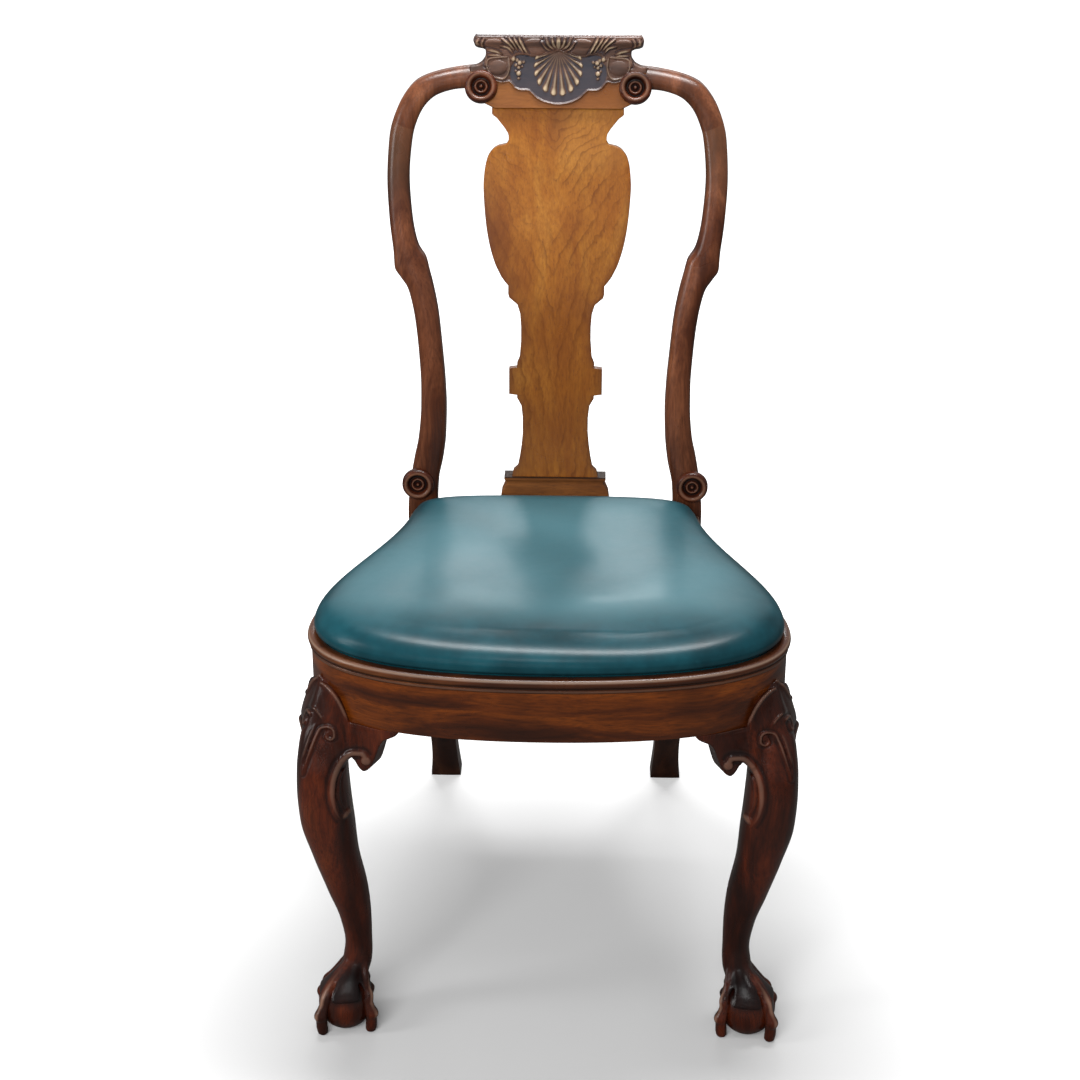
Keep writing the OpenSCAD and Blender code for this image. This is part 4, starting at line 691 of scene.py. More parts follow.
def plan_edge(u, inset):
    """Point of the seat's plan: u is 0 in the middle of the front, 1 where the seat is widest
    and 2 at the post, negative on the left. Each half is two cubic curves, and inset moves in
    from them at right angles."""
    u, inset = np.broadcast_arrays(np.asarray(u, float), np.asarray(inset, float))
    s = np.abs(u)
    t = np.where(s <= 1, s, s - 1)[..., None]
    p = np.where((s <= 1)[..., None, None], BOW_CURVE, SIDE_CURVE)
    p0, p1, p2, p3 = (p[..., k, :] for k in range(4))
    at = cubic(p0, p1, p2, p3, t)
    v = (p1 - p0) * (1 - t) ** 2 + (p2 - p1) * 2 * t * (1 - t) + (p3 - p2) * t * t
    v = v / np.linalg.norm(v, axis=-1, keepdims=True)
    at = at + inset[..., None] * np.stack([-v[..., 1], v[..., 0]], -1)
    return np.stack([np.sign(np.where(u == 0, 1, u)) * at[..., 0], at[..., 1]], -1)


def swept(section, u):
    """A section of inset and height carried along the seat's plan."""
    section = np.asarray(section, float)
    at = plan_edge(np.asarray(u)[:, None], section[None, :, 0])
    return np.concatenate([at, np.broadcast_to(section[:, 1:], (*at.shape[:2], 1))], -1)


RIM_WEAR_AND_LIGHT = (0, 0.2, 0.5, 0.85, 0.5, 0.1, -0.1, -0.1, -0.15, -0.2, -0.3, -0.4, -0.6)


def rim_section():
    """Bead over a fine bead: flat foot and inner wall, a circle on top, a quirk, and a half
    round below it. The third value is the wear and painted light there: a pale top edge, partly
    wear and partly painted highlight, painted shade under the bead, and a dark quirk."""
    height = SEAT_Z - RIM_BOTTOM
    r, quirk = height * 0.3, RIM_PROUD * 0.8
    foot = RIM_BOTTOM + height * 0.06
    rows = [(RIM_PROUD, RIM_BOTTOM, 0), (RIM_W, RIM_BOTTOM, 0),
            (RIM_W, SEAT_Z - 1.2 * MM, 0), (RIM_W - 0.8 * MM, SEAT_Z - 0.2 * MM, 0.4)]
    rows += [(r + r * np.cos(a), SEAT_Z - r + r * np.sin(a), w) for a, w in
             zip(np.radians(np.arange(90, 271, 15)), RIM_WEAR_AND_LIGHT)]
    rows += [(quirk, SEAT_Z - 2.02 * r, -0.9), (quirk, SEAT_Z - 2.3 * r, -0.8)]
    low = 0.5 * (foot + SEAT_Z - 2.3 * r)
    small = 0.5 * (SEAT_Z - 2.3 * r - foot)
    rows += [(quirk - small * 0.55 * np.sin(np.radians(a)), low + small * np.cos(np.radians(a)),
              0.4 * np.sin(np.radians(a))) for a in range(20, 180, 20)]
    rows += [(quirk, foot, -0.8)]
    return np.array(rows)


rim_walnut = polished_wood(
    "rim_walnut", [(0.3, "#33170B"), (0.48, "#4E2814"), (0.6, "#683A1C"), (0.78, "#7E4A24")],
    grain=(0.1, 0.1, 1), figure=24 * MM, smudge="#241008", smudge_share=0.4, gloss=0.32,
    wear_and_highlight="#8E7868", dirt_and_shade="#120805")
section = rim_section()
MITRE_U = 0.8
side_u = np.linspace(MITRE_U, 2, 100)
for name, sign, u in (("front", 1, np.linspace(-MITRE_U, MITRE_U, 140)), ("right", 1, side_u),
                      ("left", -1, side_u)):
    ring_piece(f"{name}_moulding", on_side(swept(section[:, :2], u), sign), rim_walnut,
               "chair_frame", (f"{name}_rim",), worn=np.tile(section[::sign, 2], (len(u), 1)),
               crease=50, record_slot="rim_walnut")

rail_walnut = polished_wood(
    "rail_walnut", [(0.28, "#260D03"), (0.44, "#502207"), (0.58, "#78390B"), (0.76, "#944E15")],
    grain=(0.12, 0.12, 1), figure=30 * MM, streak=2 * MM, smudge="#1C0B05", smudge_share=0.5,
    gloss=0.3)
low_z, high_z, ease = RAIL_BOTTOM, RIM_BOTTOM, 1.2 * MM
rail_section = [
    (RIM_PROUD, high_z), (RIM_PROUD, low_z + ease), (RIM_PROUD + 0.3 * ease, low_z + 0.3 * ease),
    (RIM_PROUD + ease, low_z), (RIM_PROUD + RAIL_T, low_z), (RIM_PROUD + RAIL_T, high_z)]
STUMP_U = (0.585, 0.935)
side_u = np.linspace(0.93, 2, 90)
for name, sign, u in (("front", 1, np.linspace(-STUMP_U[0], STUMP_U[0], 120)),
                      ("right", 1, side_u), ("left", -1, side_u)):
    ring_piece(f"{name}_rail", on_side(swept(rail_section, u), sign), rail_walnut,
               "chair_frame", (f"{name}_seat_rail",), record_slot="rail_walnut")


def refinish(material, *nodes):
    """Gives CAD nodes that are shown as they are a material."""
    for node in nodes:
        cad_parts[node].data.materials.clear()
        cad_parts[node].data.materials.append(material)


refinish(rail_walnut, "rear_seat_rail")

# The front legs: cabriole legs sawn and carved from thick walnut, each with a stump that fills
# the corner of the seat frame, an eared knee, a slim ankle and a ball held by four claws.
KNEE_W = 62 * MM
ANKLE_SHARE = 31 / 62
ANKLE = np.array([217, 67]) * MM
KNEE = np.array([247, 49]) * MM
FOOT = np.array([231, 38]) * MM
BALL_R = 31 * MM
BALL_FLAT = 3 * MM
CLAW_R = 8.5 * MM
# Height as a share of the rails' top, how far the middle has moved from the ankle to the
# foot and to the knee across and in depth, half width and depth as shares of half the knee,
# and how square the section is
LEG_SHARES = [
    (0.07, 0.9, 0, 0, 0.5, 0.5, 2.2), (0.11, 0.61, 0, 0, 0.54, 0.54, 2.2),
    (0.155, 0.13, 0, 0, ANKLE_SHARE * 1.08, ANKLE_SHARE * 1.08, 2.2),
    (0.21, 0, 0, 0, ANKLE_SHARE, ANKLE_SHARE, 2.3), (0.28, 0, 0.067, 0.056, 0.57, 0.57, 2.4),
    (0.38, 0, 0.317, 0.333, 0.73, 0.74, 2.5), (0.49, 0, 0.667, 0.667, 0.82, 0.85, 2.6),
    (0.6, 0, 0.9, 0.944, 0.95, 0.95, 2.7), (0.67, 0, 0.967, 1, 0.94, 0.97, 2.7),
    (0.74, 0, 1, 0.722, 0.9, 1, 2.7), (0.8, 0, 0.933, 0.111, 0.88, 0.98, 2.8),
    (0.86, 0, 0.8, -0.389, 0.77, 0.82, 2.8), (0.91, 0, 0.733, -0.611, 0.57, 0.68, 2.8),
    (0.96, 0, 0.7, -0.833, 0.36, 0.45, 2.8),
]
LEG_STEPS = (220, 120)


def leg_surface():
    """The cabriole as rings of superellipses up its height, leaning from foot to knee."""
    rows, around = LEG_STEPS
    h = np.linspace(LEG_SHARES[0][0], LEG_SHARES[-1][0], rows)
    foot, across, deep, wide, thick, square = along(LEG_SHARES, h).T
    mid_x = ANKLE[0] + (FOOT - ANKLE)[0] * foot + (KNEE - ANKLE)[0] * across
    mid_d = ANKLE[1] + (FOOT - ANKLE)[1] * foot + (KNEE - ANKLE)[1] * deep
    a = np.linspace(0, 2 * np.pi, around + 1)[None, :-1]
    power = (2 / square)[:, None]
    c = np.sign(np.cos(a)) * np.abs(np.cos(a)) ** power
    s = np.sign(np.sin(a)) * np.abs(np.sin(a)) ** power
    x = mid_x[:, None] + wide[:, None] * KNEE_W / 2 * c
    y = FRONT_Y + mid_d[:, None] + thick[:, None] * KNEE_W / 2 * s
    z = np.repeat(h[:, None] * RIM_BOTTOM, around, 1)
    return np.stack([x, y, z], -1)


# Height as a share of the ball, how far the middle has moved from the ankle to the ball, its
# reach as a share of the ball's radius, half thickness and half width as shares of the claw's
CLAW_SHARES = [
    (0.02, 1, 1.1, 0.7, 0.74), (0.16, 1, 1.14, 0.76, 0.8), (0.3, 1, 1.15, 0.74, 0.78),
    (0.4, 1, 1.17, 0.95, 0.94), (0.5, 1, 1.08, 0.8, 0.8), (0.6, 0.97, 0.99, 0.74, 0.72),
    (0.7, 0.9, 0.92, 0.92, 0.84), (0.82, 0.76, 0.76, 0.74, 0.66), (1.0, 0.48, 0.54, 0.68, 0.6),
    (1.22, 0.12, 0.3, 0.5, 0.46),
]
WEB_SHARES = [
    (0.72, 1, 0.87, 0.15, 1.7), (0.74, 1, 0.87, 0.35, 1.9), (0.8, 1, 0.76, 0.35, 1.9),
    (0.95, 0.85, 0.5, 0.4, 1.6), (1.08, 0.5, 0.3, 0.45, 1.2), (1.22, 0.12, 0.14, 0.5, 0.9),
]
# The way each claw points from the middle of the foot, and each web
CLAW_TURNS = np.radians((37.8, 127.8, 210, 315.5))
WEB_TURNS = np.radians((-7.2, 82.8, 172.8, 262.8))


def claw_surface(turn, shares):
    """A claw from its nail up the ball to the ankle, fat at each knuckle, or a web between
    two claws: rings of ellipses along the path, even steps up the height."""
    h = np.linspace(shares[0][0], shares[-1][0], 70)
    moved, reach, thick, wide = along(shares, h).T
    out = np.array([np.cos(turn), np.sin(turn)])
    mid = ANKLE + (FOOT - ANKLE) * moved[:, None] + reach[:, None] * BALL_R * out
    path = np.column_stack([mid[:, 0], FRONT_Y + mid[:, 1], h * 2 * BALL_R])
    side = np.array([-out[1], out[0], 0])
    ahead = np.gradient(path, axis=0)
    front = np.cross(side, ahead)
    front[:, 2] *= 0.5
    front /= np.linalg.norm(front, axis=1, keepdims=True)
    a = np.linspace(0, 2 * np.pi, 33)[None, :-1, None]
    return (path[:, None] + CLAW_R * (front[:, None] * np.cos(a) * thick[:, None, None]
                                      + side * np.sin(a) * wide[:, None, None]))


def foot_wear_and_painted_light(at):
    """The foot's wear and painted light: pale along the claws and on their knuckles, painted
    highlights over rubbed wear, and darker in the webs between. Distances run round the line
    from the ball's middle to the ankle's."""
    share = at[..., 2] / (2 * BALL_R)
    moved = along(CLAW_SHARES, share)[..., 0]
    dx = at[..., 0] - ANKLE[0] - (FOOT - ANKLE)[0] * moved
    dy = at[..., 1] - FRONT_Y - ANKLE[1] - (FOOT - ANKLE)[1] * moved
    turn = np.arctan2(dy, dx)[..., None] - CLAW_TURNS
    off = np.abs((turn + np.pi) % (2 * np.pi) - np.pi).min(-1) * np.hypot(dx, dy)
    pale = (0.35 + 0.8 * np.exp(-((share - 0.72) / 0.16) ** 2)
            + 0.7 * np.exp(-((share - 0.4) / 0.07) ** 2))
    ridge_line = np.exp(-(off / (3.4 * MM)) ** 2) * pale * smooth_step(share, 0.25, 0.4)
    hollow = smooth_step(off, 5 * MM, 9 * MM) * smooth_step(share, 0.6, 0.75)
    return (ridge_line - 0.95 * hollow) * smooth_step(1.32 - share, 0, 0.3)


def ball_surface():
    """The ball that the claws hold, with its foot cut flat where it stands."""
    up = np.linspace(-np.pi / 2 + 0.02, np.pi / 2 - 0.02, 48)
    a = np.linspace(0, 2 * np.pi, 65)[:-1]
    r = BALL_R * np.cos(up)[:, None]
    z = np.maximum(BALL_R - BALL_FLAT + BALL_R * np.sin(up), 0)
    return np.stack([FOOT[0] + r * np.cos(a), FRONT_Y + FOOT[1] + r * np.sin(a),
                     np.repeat(z[:, None], len(a), 1)], -1)


def stump_surface():
    """The corner of the seat frame: rings up its height that follow the seat's plan outside
    and the chamfer inside."""
    u = np.linspace(*STUMP_U, 90)
    outside = plan_edge(u, RIM_PROUD)
    inside = np.array([(SEAT_HALF - RIM_PROUD - RAIL_T, FRONT_Y + 112 * MM),
                       (215 * MM, FRONT_Y + 81 * MM)])
    plan = np.concatenate([outside, inside])
    z = np.linspace(344 * MM, RIM_BOTTOM, 60)
    flat = np.broadcast_to(plan, (len(z), *plan.shape))
    return np.concatenate([flat, np.broadcast_to(z[:, None, None], (*flat.shape[:2], 1))], -1)


# Places along the plan: the front bracket's tip, the leg's two sides, the side bracket's tip
FRONT_TIP, LEG_START, LEG_END, SIDE_TIP = 0.35, 0.549, 0.925, 1.133
# Along the plan: the carved ear's top and the brackets' lower edge, in metres
EAR_TOP = np.array([
    (FRONT_TIP, 391), (LEG_START, 391), (0.571, 405), (0.593, 416), (0.628, 423), (0.687, 426),
    (0.773, 424), (0.86, 417), (0.9, 408), (LEG_END, 391), (SIDE_TIP, 391)]) * (1, MM)
BRACKET_LOW = np.array([
    (FRONT_TIP, 391), (0.365, 384), (0.385, 380), (0.408, 376), (0.424, 368), (0.437, 355),
    (0.452, 343), (0.468, 337), (0.482, 336), (0.495, 341), (0.507, 349), (0.522, 354),
    (0.538, 352), (LEG_START, 344), (0.58, 338), (0.9, 338), (LEG_END, 344)]) * (1, MM)
SIDE_STRETCH = (SIDE_TIP - LEG_END) / (LEG_START - FRONT_TIP)


def ear_surface():
    """The knee's ear and both brackets in one band round the corner: sections from the tip of
    the front bracket to the tip of the side one. Each stands a little proud of the rail at the
    top, and swells towards the leg so that it runs into the knee."""
    u = np.concatenate([np.linspace(0.351, LEG_END, 130), np.linspace(0.93, 1.132, 50)])
    top = np.interp(u, *EAR_TOP.T)
    folded = np.where(u > LEG_END, LEG_START - (u - LEG_END) / SIDE_STRETCH, u)
    low = np.minimum(np.interp(folded, *BRACKET_LOW.T), top - 0.5 * MM)
    near = smooth_step(folded, 0.35, 0.56)
    v = np.concatenate([np.linspace(0, 1, 26), [1, 0]])
    z = low[:, None] + (top - low)[:, None] * v
    below = smooth_step(top[:, None] - z, 0, 45 * MM)
    proud = np.where(folded < LEG_START, 0.6, 2.6)[:, None] * MM
    swell = (np.where(u > LEG_END, 4, 14) * MM * near ** 1.5)[:, None] * (0.25 + 0.75 * below)
    inset = RIM_PROUD - proud - swell
    soft = np.minimum(v, 1 - v)
    inset = inset + 1.6 * MM * (1 - smooth_step(soft, 0, 0.08))
    inset[:, -2:] = RIM_PROUD + 24 * MM
    at = plan_edge(np.broadcast_to(u[:, None], z.shape), inset)
    return np.concatenate([at, z[..., None]], -1)


def joined(shells):
    """The points and faces of several closed shells of rings, as one mesh."""
    points, faces, count = [], [], 0
    for rings in shells:
        points.append(rings.reshape(-1, 3))
        faces += tube_faces(*rings.shape[:2], count)
        count += len(points[-1])
    return np.concatenate(points), faces


def read_rows(rows, name, width, kind):
    """A value of each of a mesh's rows, as an array of a width."""
    values = np.empty(len(rows) * width, kind)
    rows.foreach_get(name, values)
    return values.reshape(-1, width)


def fused(name, shells, voxel, passes, keep):
    """Closed shells cut from one piece of wood: joined and remeshed to quads at a voxel size,
    then each point is moved towards its neighbours' mean, passes times, but for the keep
    share there."""
    points, faces = joined(shells)
    mesh = bpy.data.meshes.new(name)
    mesh.from_pydata(points.tolist(), [], faces)
    rough = bpy.data.objects.new(name, mesh)
    bpy.context.scene.collection.objects.link(rough)
    remesh = rough.modifiers.new("remesh", "REMESH")
    remesh.mode, remesh.voxel_size = "VOXEL", voxel
    made = rough.evaluated_get(bpy.context.evaluated_depsgraph_get()).to_mesh()
    at = read_rows(made.vertices, "co", 3, float)
    edges = read_rows(made.edges, "vertices", 2, np.int64)
    quads = read_rows(made.loops, "vertex_index", 1, np.int64).reshape(-1, 4)
    rough.to_mesh_clear()
    bpy.data.objects.remove(rough)
    bpy.data.meshes.remove(mesh)
    count = np.bincount(edges.ravel(), minlength=len(at))[:, None]
    free = 1 - keep(at)[:, None]
    for _ in range(passes):
        total = np.zeros_like(at)
        for axis in range(3):
            total[:, axis] = (
                np.bincount(edges[:, 0], at[edges[:, 1], axis], len(at))
                + np.bincount(edges[:, 1], at[edges[:, 0], axis], len(at)))
        at = at + 0.6 * free * (total / count - at)
    return at, quads


def normals_of(at, quads):
    """Outward normals at the points of a mesh of quads: the sum of the crossed diagonals of
    the quads around each."""
    cross = np.cross(at[quads[:, 2]] - at[quads[:, 0]], at[quads[:, 3]] - at[quads[:, 1]])
    total = np.stack([np.bincount(quads.ravel(), np.repeat(cross[:, axis], 4), len(at))
                      for axis in range(3)], -1)
    return total / np.maximum(np.linalg.norm(total, axis=1, keepdims=True), 1e-12)


# The knee's carving, for the right leg, in millimetres across and up: the left knee as the
# viewer sees it against an upright plane behind the front of the rim, mirrored
SIGHT_FROM = np.array([-0.040734, -2.166951, 1.445592])
SIGHT_PLANE = FRONT_Y + 40 * MM
SCROLL = [(197, 346), (201, 353.5), (211, 354), (220.5, 348), (227.5, 338), (232.5, 326),
          (235.5, 314), (236.5, 300.5), (235, 287), (231, 275), (225, 267)]
SCROLL_INNER = [(218, 338), (224, 330), (228, 317), (229, 303), (227, 290), (221, 280)]
SECOND_RIDGE = [(257, 413), (250, 408), (245, 401), (241.5, 394)]
VOLUTE = [(268, 327), (262, 344), (256, 361), (250, 376), (244.5, 385), (237, 386.5),
          (231, 382), (230.5, 375), (234.5, 370.5), (239.5, 373), (239, 378), (235.5, 379)]
REEDS = [[(250, 390), (257, 375), (263, 357), (268, 340), (269, 326)],
         [(256, 398), (263, 381), (268, 362), (271, 345)],
         [(261, 402), (268, 384), (272, 366)]]
UPPER_RIDGE = [(254, 446), (246, 442), (238, 436.5), (231, 428.5), (225, 418), (220, 405),
               (215.5, 392)]
RAIL_LINE = [(215.5, 392), (205, 389), (189, 384.5), (173, 381)]
LEAF = [(209, 293), (214, 286), (222, 277), (226, 270)]


def knee_relief(x, z):
    """Height of the knee's carving in millimetres, and its wear and painted light, from a plane
    view: pale ridges, painted highlights over rubbed wear, and darker hollows beside them.
    """
    scroll = ridge(x, z, SCROLL, 9, 2.4, (0.02, 0.35))
    bulb = bead(x, z, (197.5, 345), 6, 3)
    inner = ridge(x, z, SCROLL_INNER, 4, 1.1)
    second = ridge(x, z, SECOND_RIDGE, 4.5, 1.8, (0.1, 0.2))
    volute = ridge(x, z, VOLUTE, 4.4, 2.0, (0.35, 0.1))
    reeds = np.max([ridge(x, z, path, 5, 1.5, (0.15, 0.4)) for path in REEDS], 0)
    leaf = ridge(x, z, LEAF, 8, 2.4, (0.3, 0.2))
    upper = ridge(x, z, UPPER_RIDGE, 5.5, 2.2, (0.1, 0.15))
    edge = ridge(x, z, RAIL_LINE, 3.4, 1.3, (0.1, 0.3))
    raised = np.max([scroll, bulb, inner, second, volute, reeds, leaf, upper, edge], 0)
    gap, place, _ = to_path(x, z, path_through(SCROLL, 40))
    hollow = np.exp(-((gap - 6.5) / 2.2) ** 2) * (place > 0.02) * (place < 0.98)
    gap, place, _ = to_path(x, z, path_through(VOLUTE, 40))
    hollow = np.maximum(hollow, 0.8 * np.exp(-((gap - 3.4) / 1.4) ** 2) * (place < 0.98))
    height = raised - 1.1 * hollow * (raised < 0.3)
    worn = np.clip(raised / 2.2, 0, 1) * 0.55 - 0.75 * hollow * (raised < 0.5)
    return height, worn


def carve_knee(at, normal):
    """Moves the right leg's points out by the knee's relief, seen from the front on faces
    that look forwards and, mirrored about the knee's corner, from the side on the others."""
    share = (SIGHT_PLANE - SIGHT_FROM[1]) / (at[:, 1] - SIGHT_FROM[1])
    seen_x = (SIGHT_FROM[0] + (at[:, 0] - SIGHT_FROM[0]) * share) / MM
    seen_z = (SIGHT_FROM[2] + (at[:, 2] - SIGHT_FROM[2]) * share) / MM
    front, front_worn = knee_relief(seen_x, seen_z)
    depth = (at[:, 1] - FRONT_Y) / MM
    side, side_worn = knee_relief(KNEE[0] / MM - (depth - KNEE[1] / MM) * 0.74, at[:, 2] / MM - 7)
    forward = smooth_step(-normal[:, 1] - normal[:, 0], -0.2, 0.2)
    lit = smooth_step(np.maximum(-normal[:, 1], normal[:, 0]), 0.05, 0.35)
    height = lit * (forward * front + (1 - forward) * side) * MM
    worn = lit * (forward * front_worn + (1 - forward) * side_worn)
    return at + normal * height[:, None], worn


def crisp_foot(at):
    """The share of the smoothing that the claws are spared, none above the ankle."""
    return 0.75 * smooth_step(-at[:, 2], -0.06, -0.04)


# The pale, greyish colour on the ridges of the knees and claws is a painted highlight over rubbed
# wear
leg_walnut = polished_wood(
    "leg_walnut", [(0.3, "#180805"), (0.46, "#341207"), (0.6, "#54200D"), (0.78, "#6E3216")],
    grain=(1, 1, 0.09), smudge="#150705", smudge_share=0.5, gloss=0.26, wear_and_highlight="#94705E",
    dirt_and_shade="#060203")
VOXEL = 1.3 * MM
SMOOTHINGS = 9
foot = [claw_surface(turn, shares) for turns, shares in
        ((CLAW_TURNS, CLAW_SHARES), (WEB_TURNS, WEB_SHARES)) for turn in turns]
leg_points, leg_quads = fused("leg", [leg_surface(), ear_surface(), *foot], VOXEL, SMOOTHINGS,
                              crisp_foot)
leg_points, leg_worn = carve_knee(leg_points, normals_of(leg_points, leg_quads))
leg_points[:, 2] = np.maximum(leg_points[:, 2], 0)
leg_worn = leg_worn + foot_wear_and_painted_light(leg_points)
stump, ball = stump_surface(), ball_surface()
# The ball takes only the darker part of the foot's tone, under the webs
for side, sign in SIDES:
    finish_piece(f"{side}_cabriole", leg_points * (sign, 1, 1), leg_quads[:, ::sign].tolist(),
                 leg_walnut, "chair_frame",
                 (f"{side}_front_leg", f"{side}_front_bracket", f"{side}_side_bracket"),
                 worn=leg_worn, crease=70, record_slot="dark_walnut")
    ring_piece(f"{side}_stump", on_side(stump, sign), rail_walnut, "chair_frame",
               record_slot="dark_walnut")
    ring_piece(f"{side}_ball", on_side(ball, sign), leg_walnut, "chair_frame",
               worn=np.minimum(foot_wear_and_painted_light(ball[:, ::sign]), 0), record_slot="dark_walnut")

# Corner blocks and seat bars: beech, planed and left bare. Two screws hold each block in a
# corner of the rails, and the side bars are tenoned into the front and rear ones.
beech = polished_wood(
    "planed_beech", [(0.3, "#9A7A50"), (0.5, "#B08E60"), (0.7, "#C2A274"), (0.85, "#CDB086")],
    grain=(0.1, 0.1, 1), figure=22 * MM, streak=1.2 * MM, smudge="#6E5232", smudge_share=0.25,
    gloss=0.6)
refinish(beech, "front_left_block", "front_right_block", "rear_left_block", "rear_right_block",
         "seat_bar_front", "seat_bar_rear", "seat_bar_left", "seat_bar_right")

# Screws and tacks: brass screws that hold the corner blocks, and steel tacks that hold the
# leather under the seat's frame. Both are out of sight.
SCRATCH = 0.8 * MM


def metal(name, colour, roughness):
    """Bare metal with fine scratches from handling: metallic, its gloss broken by noise."""
    made, shader, place = new_material(name)
    grit = add(made, "ShaderNodeTexNoise", Vector=place, Scale=1 / SCRATCH,
               Detail=3.0).outputs["Fac"]
    tone = add(made, "ShaderNodeMapRange", Value=grit, From_Min=0.3, From_Max=0.7,
               To_Min=roughness - 0.1, To_Max=roughness + 0.15).outputs["Result"]
    dull = add(made, "ShaderNodeMix", {0: grit, 6: linear(colour), 7: linear("#3A3128")},
               data_type="RGBA").outputs[2]
    feed(made, shader, {"Base Color": dull, "Metallic": 1.0, "Roughness": tone})
    return made


refinish(metal("corner_block_screws_metal", "#B08F45", 0.4), "corner_block_screws")
refinish(metal("leather_tacks_metal", "#4A4A4C", 0.35), "leather_tacks")

# Webbing and hessian: three linen straps each way, woven through each other over the seat
# frame, and a coarse plain-weave cloth stretched on top to hold the stuffing.
WEB_W = 50 * MM
WEB_T = 1.2 * MM
web_low, web_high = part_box("webbing_lengthwise")
cross_low, cross_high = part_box("webbing_crosswise")
web_mid_z = (web_low[2] + web_high[2]) / 2
web_wave = (web_high[2] - web_low[2] - WEB_T) / 2
pitch_x = web_high[0] - WEB_W / 2
first_y = cross_low[1] + WEB_W / 2
pitch_y = (cross_high[1] - cross_low[1] - WEB_W) / 2


def woven_cloth(name, warp, weft, spacing, relief):
    """Plain weave at a real thread spacing, drawn no finer than it can show: bands of
    thread each way, over and under by turns, with slubs and uneven colour, and painted shade
    in the gaps between them."""
    cloth, shader, place = new_material(name)
    threads = [
        add(cloth, "ShaderNodeTexWave", Vector=place, bands_direction=direction,
            Scale=2 * np.pi / (20 * spacing), Distortion=0.6, Detail=1.0).outputs["Fac"]
        for direction in ("X", "Y")]
    over = add(cloth, "ShaderNodeMath", {0: threads[0], 1: threads[1]},
               operation="MAXIMUM").outputs["Value"]
    slub = add(cloth, "ShaderNodeTexNoise", Vector=place, Scale=1 / (9 * MM),
               Detail=3.0).outputs["Fac"]
    tone = add(cloth, "ShaderNodeMix", {0: slub, 6: linear(warp), 7: linear(weft)},
               data_type="RGBA").outputs[2]
    shade = add(cloth, "ShaderNodeMix", {0: over, 6: linear("#4A3A22"), 7: tone},
                data_type="RGBA").outputs[2]
    raised = add(cloth, "ShaderNodeBump", Height=over, Strength=0.7, Distance=relief)
    feed(cloth, shader, {"Base Color": shade, "Roughness": 0.9, "Sheen Weight": 0.25,
                         "Normal": raised.outputs["Normal"]})
    return cloth


def strap(start, end, first, pitch, turn, lengthwise, middle):
    """One strap as closed sections along its run: its height is a cosine with flat tops
    between crossings, and its woven edges are rounded."""
    s = np.linspace(start, end, 90)
    z = web_mid_z + web_wave * np.clip(2.4 * np.cos(np.pi * ((s - first) / pitch + turn)), -1, 1)
    a = np.linspace(0, 2 * np.pi, 25)[:-1]
    wide = np.clip(1.25 * np.cos(a), -1, 1) * WEB_W / 2
    thick = np.sin(a) * WEB_T / 2
    along_run = np.broadcast_to(s[:, None], (len(s), len(a)))
    across = middle + np.broadcast_to(wide, along_run.shape)
    height = z[:, None] + thick
    return np.stack([2 * middle - across if lengthwise else along_run,
                     along_run if lengthwise else across, height], -1)


EDGE_POINTS = 64


def seat_outline(inset, back):
    """The drop-in seat's plan at an inset from the rim: the seat's own curves at the front and
    sides, a rounded rear corner, and a straight back at a distance in front of the posts."""
    r = 30 * MM
    y = FRONT_Y + SEAT_DEPTH - back
    x = SEAT_BACK_HALF - inset
    last_u = 2 - (SEAT_DEPTH - (y - r - FRONT_Y)) / SIDE_D
    edge = plan_edge(np.linspace(0, last_u, EDGE_POINTS), inset)
    rear = np.array([(x, y - r), (x, y), (x - 2 * r, y), (0, y)])
    s = np.concatenate([np.linspace(0.02, 0.6, 14), np.linspace(0.64, 1, 16)])[:, None]
    half = np.concatenate([edge, cubic(*rear, s)])
    return np.concatenate([half, half[-2:0:-1] * (-1, 1)])


linen = woven_cloth("linen_webbing", "#C9B184", "#A88F62", 1.4 * MM, 0.25 * MM)
SEAT_IN = RIM_W + 0.9 * MM
SEAT_BACK_GAP = 2 * MM
COVER_ROOM = 1.8 * MM
SEAT_MIDDLE = np.array([0, FRONT_Y + SEAT_DEPTH * 0.52])
BAR_W = 48 * MM
bar_in = SEAT_IN + COVER_ROOM
strap_plan = seat_outline(bar_in + BAR_W * 0.3, SEAT_BACK_GAP + COVER_ROOM + BAR_W * 0.3)
lengthwise = [strap(web_low[1], web_high[1], first_y, pitch_y, k, True, pitch_x * (k - 1))
              for k in range(3)]
crosswise = [strap(-SEAT_HALF, SEAT_HALF, -pitch_x, pitch_x, k + 1, False, first_y + pitch_y * k)
             for k in range(3)]
for rings in crosswise:
    reach = np.interp(rings[..., 1], *strap_plan[:EDGE_POINTS, ::-1].T)
    rings[..., 0] = np.clip(rings[..., 0], -reach, reach)
for run, straps in (("lengthwise", lengthwise), ("crosswise", crosswise)):
    finish_piece(f"straps_{run}", *joined(straps), linen, "drop_in_seat", (f"webbing_{run}",),
                 record_slot="webbing")

hessian_low, hessian_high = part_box("hessian")
jute = woven_cloth("jute_hessian", "#A98D5C", "#8C7246", 2.2 * MM, 0.4 * MM)
hessian_in = bar_in + BAR_W * 0.12
sheet_plan = seat_outline(hessian_in, SEAT_BACK_GAP + hessian_in - SEAT_IN)
share = np.linspace(0, 1, 26)[1:]
under = SEAT_MIDDLE + (sheet_plan - SEAT_MIDDLE) * share[:, None, None]
rings = np.concatenate([
    np.concatenate([flat, np.full((*flat.shape[:2], 1), z)], -1)
    for flat, z in ((under, hessian_low[2]), (under[::-1], hessian_high[2]))])
hessian = ring_piece("hessian_sheet", rings, jute, "drop_in_seat", ("hessian",),
                     record_slot="hessian")
x, y = sheet_plan.T

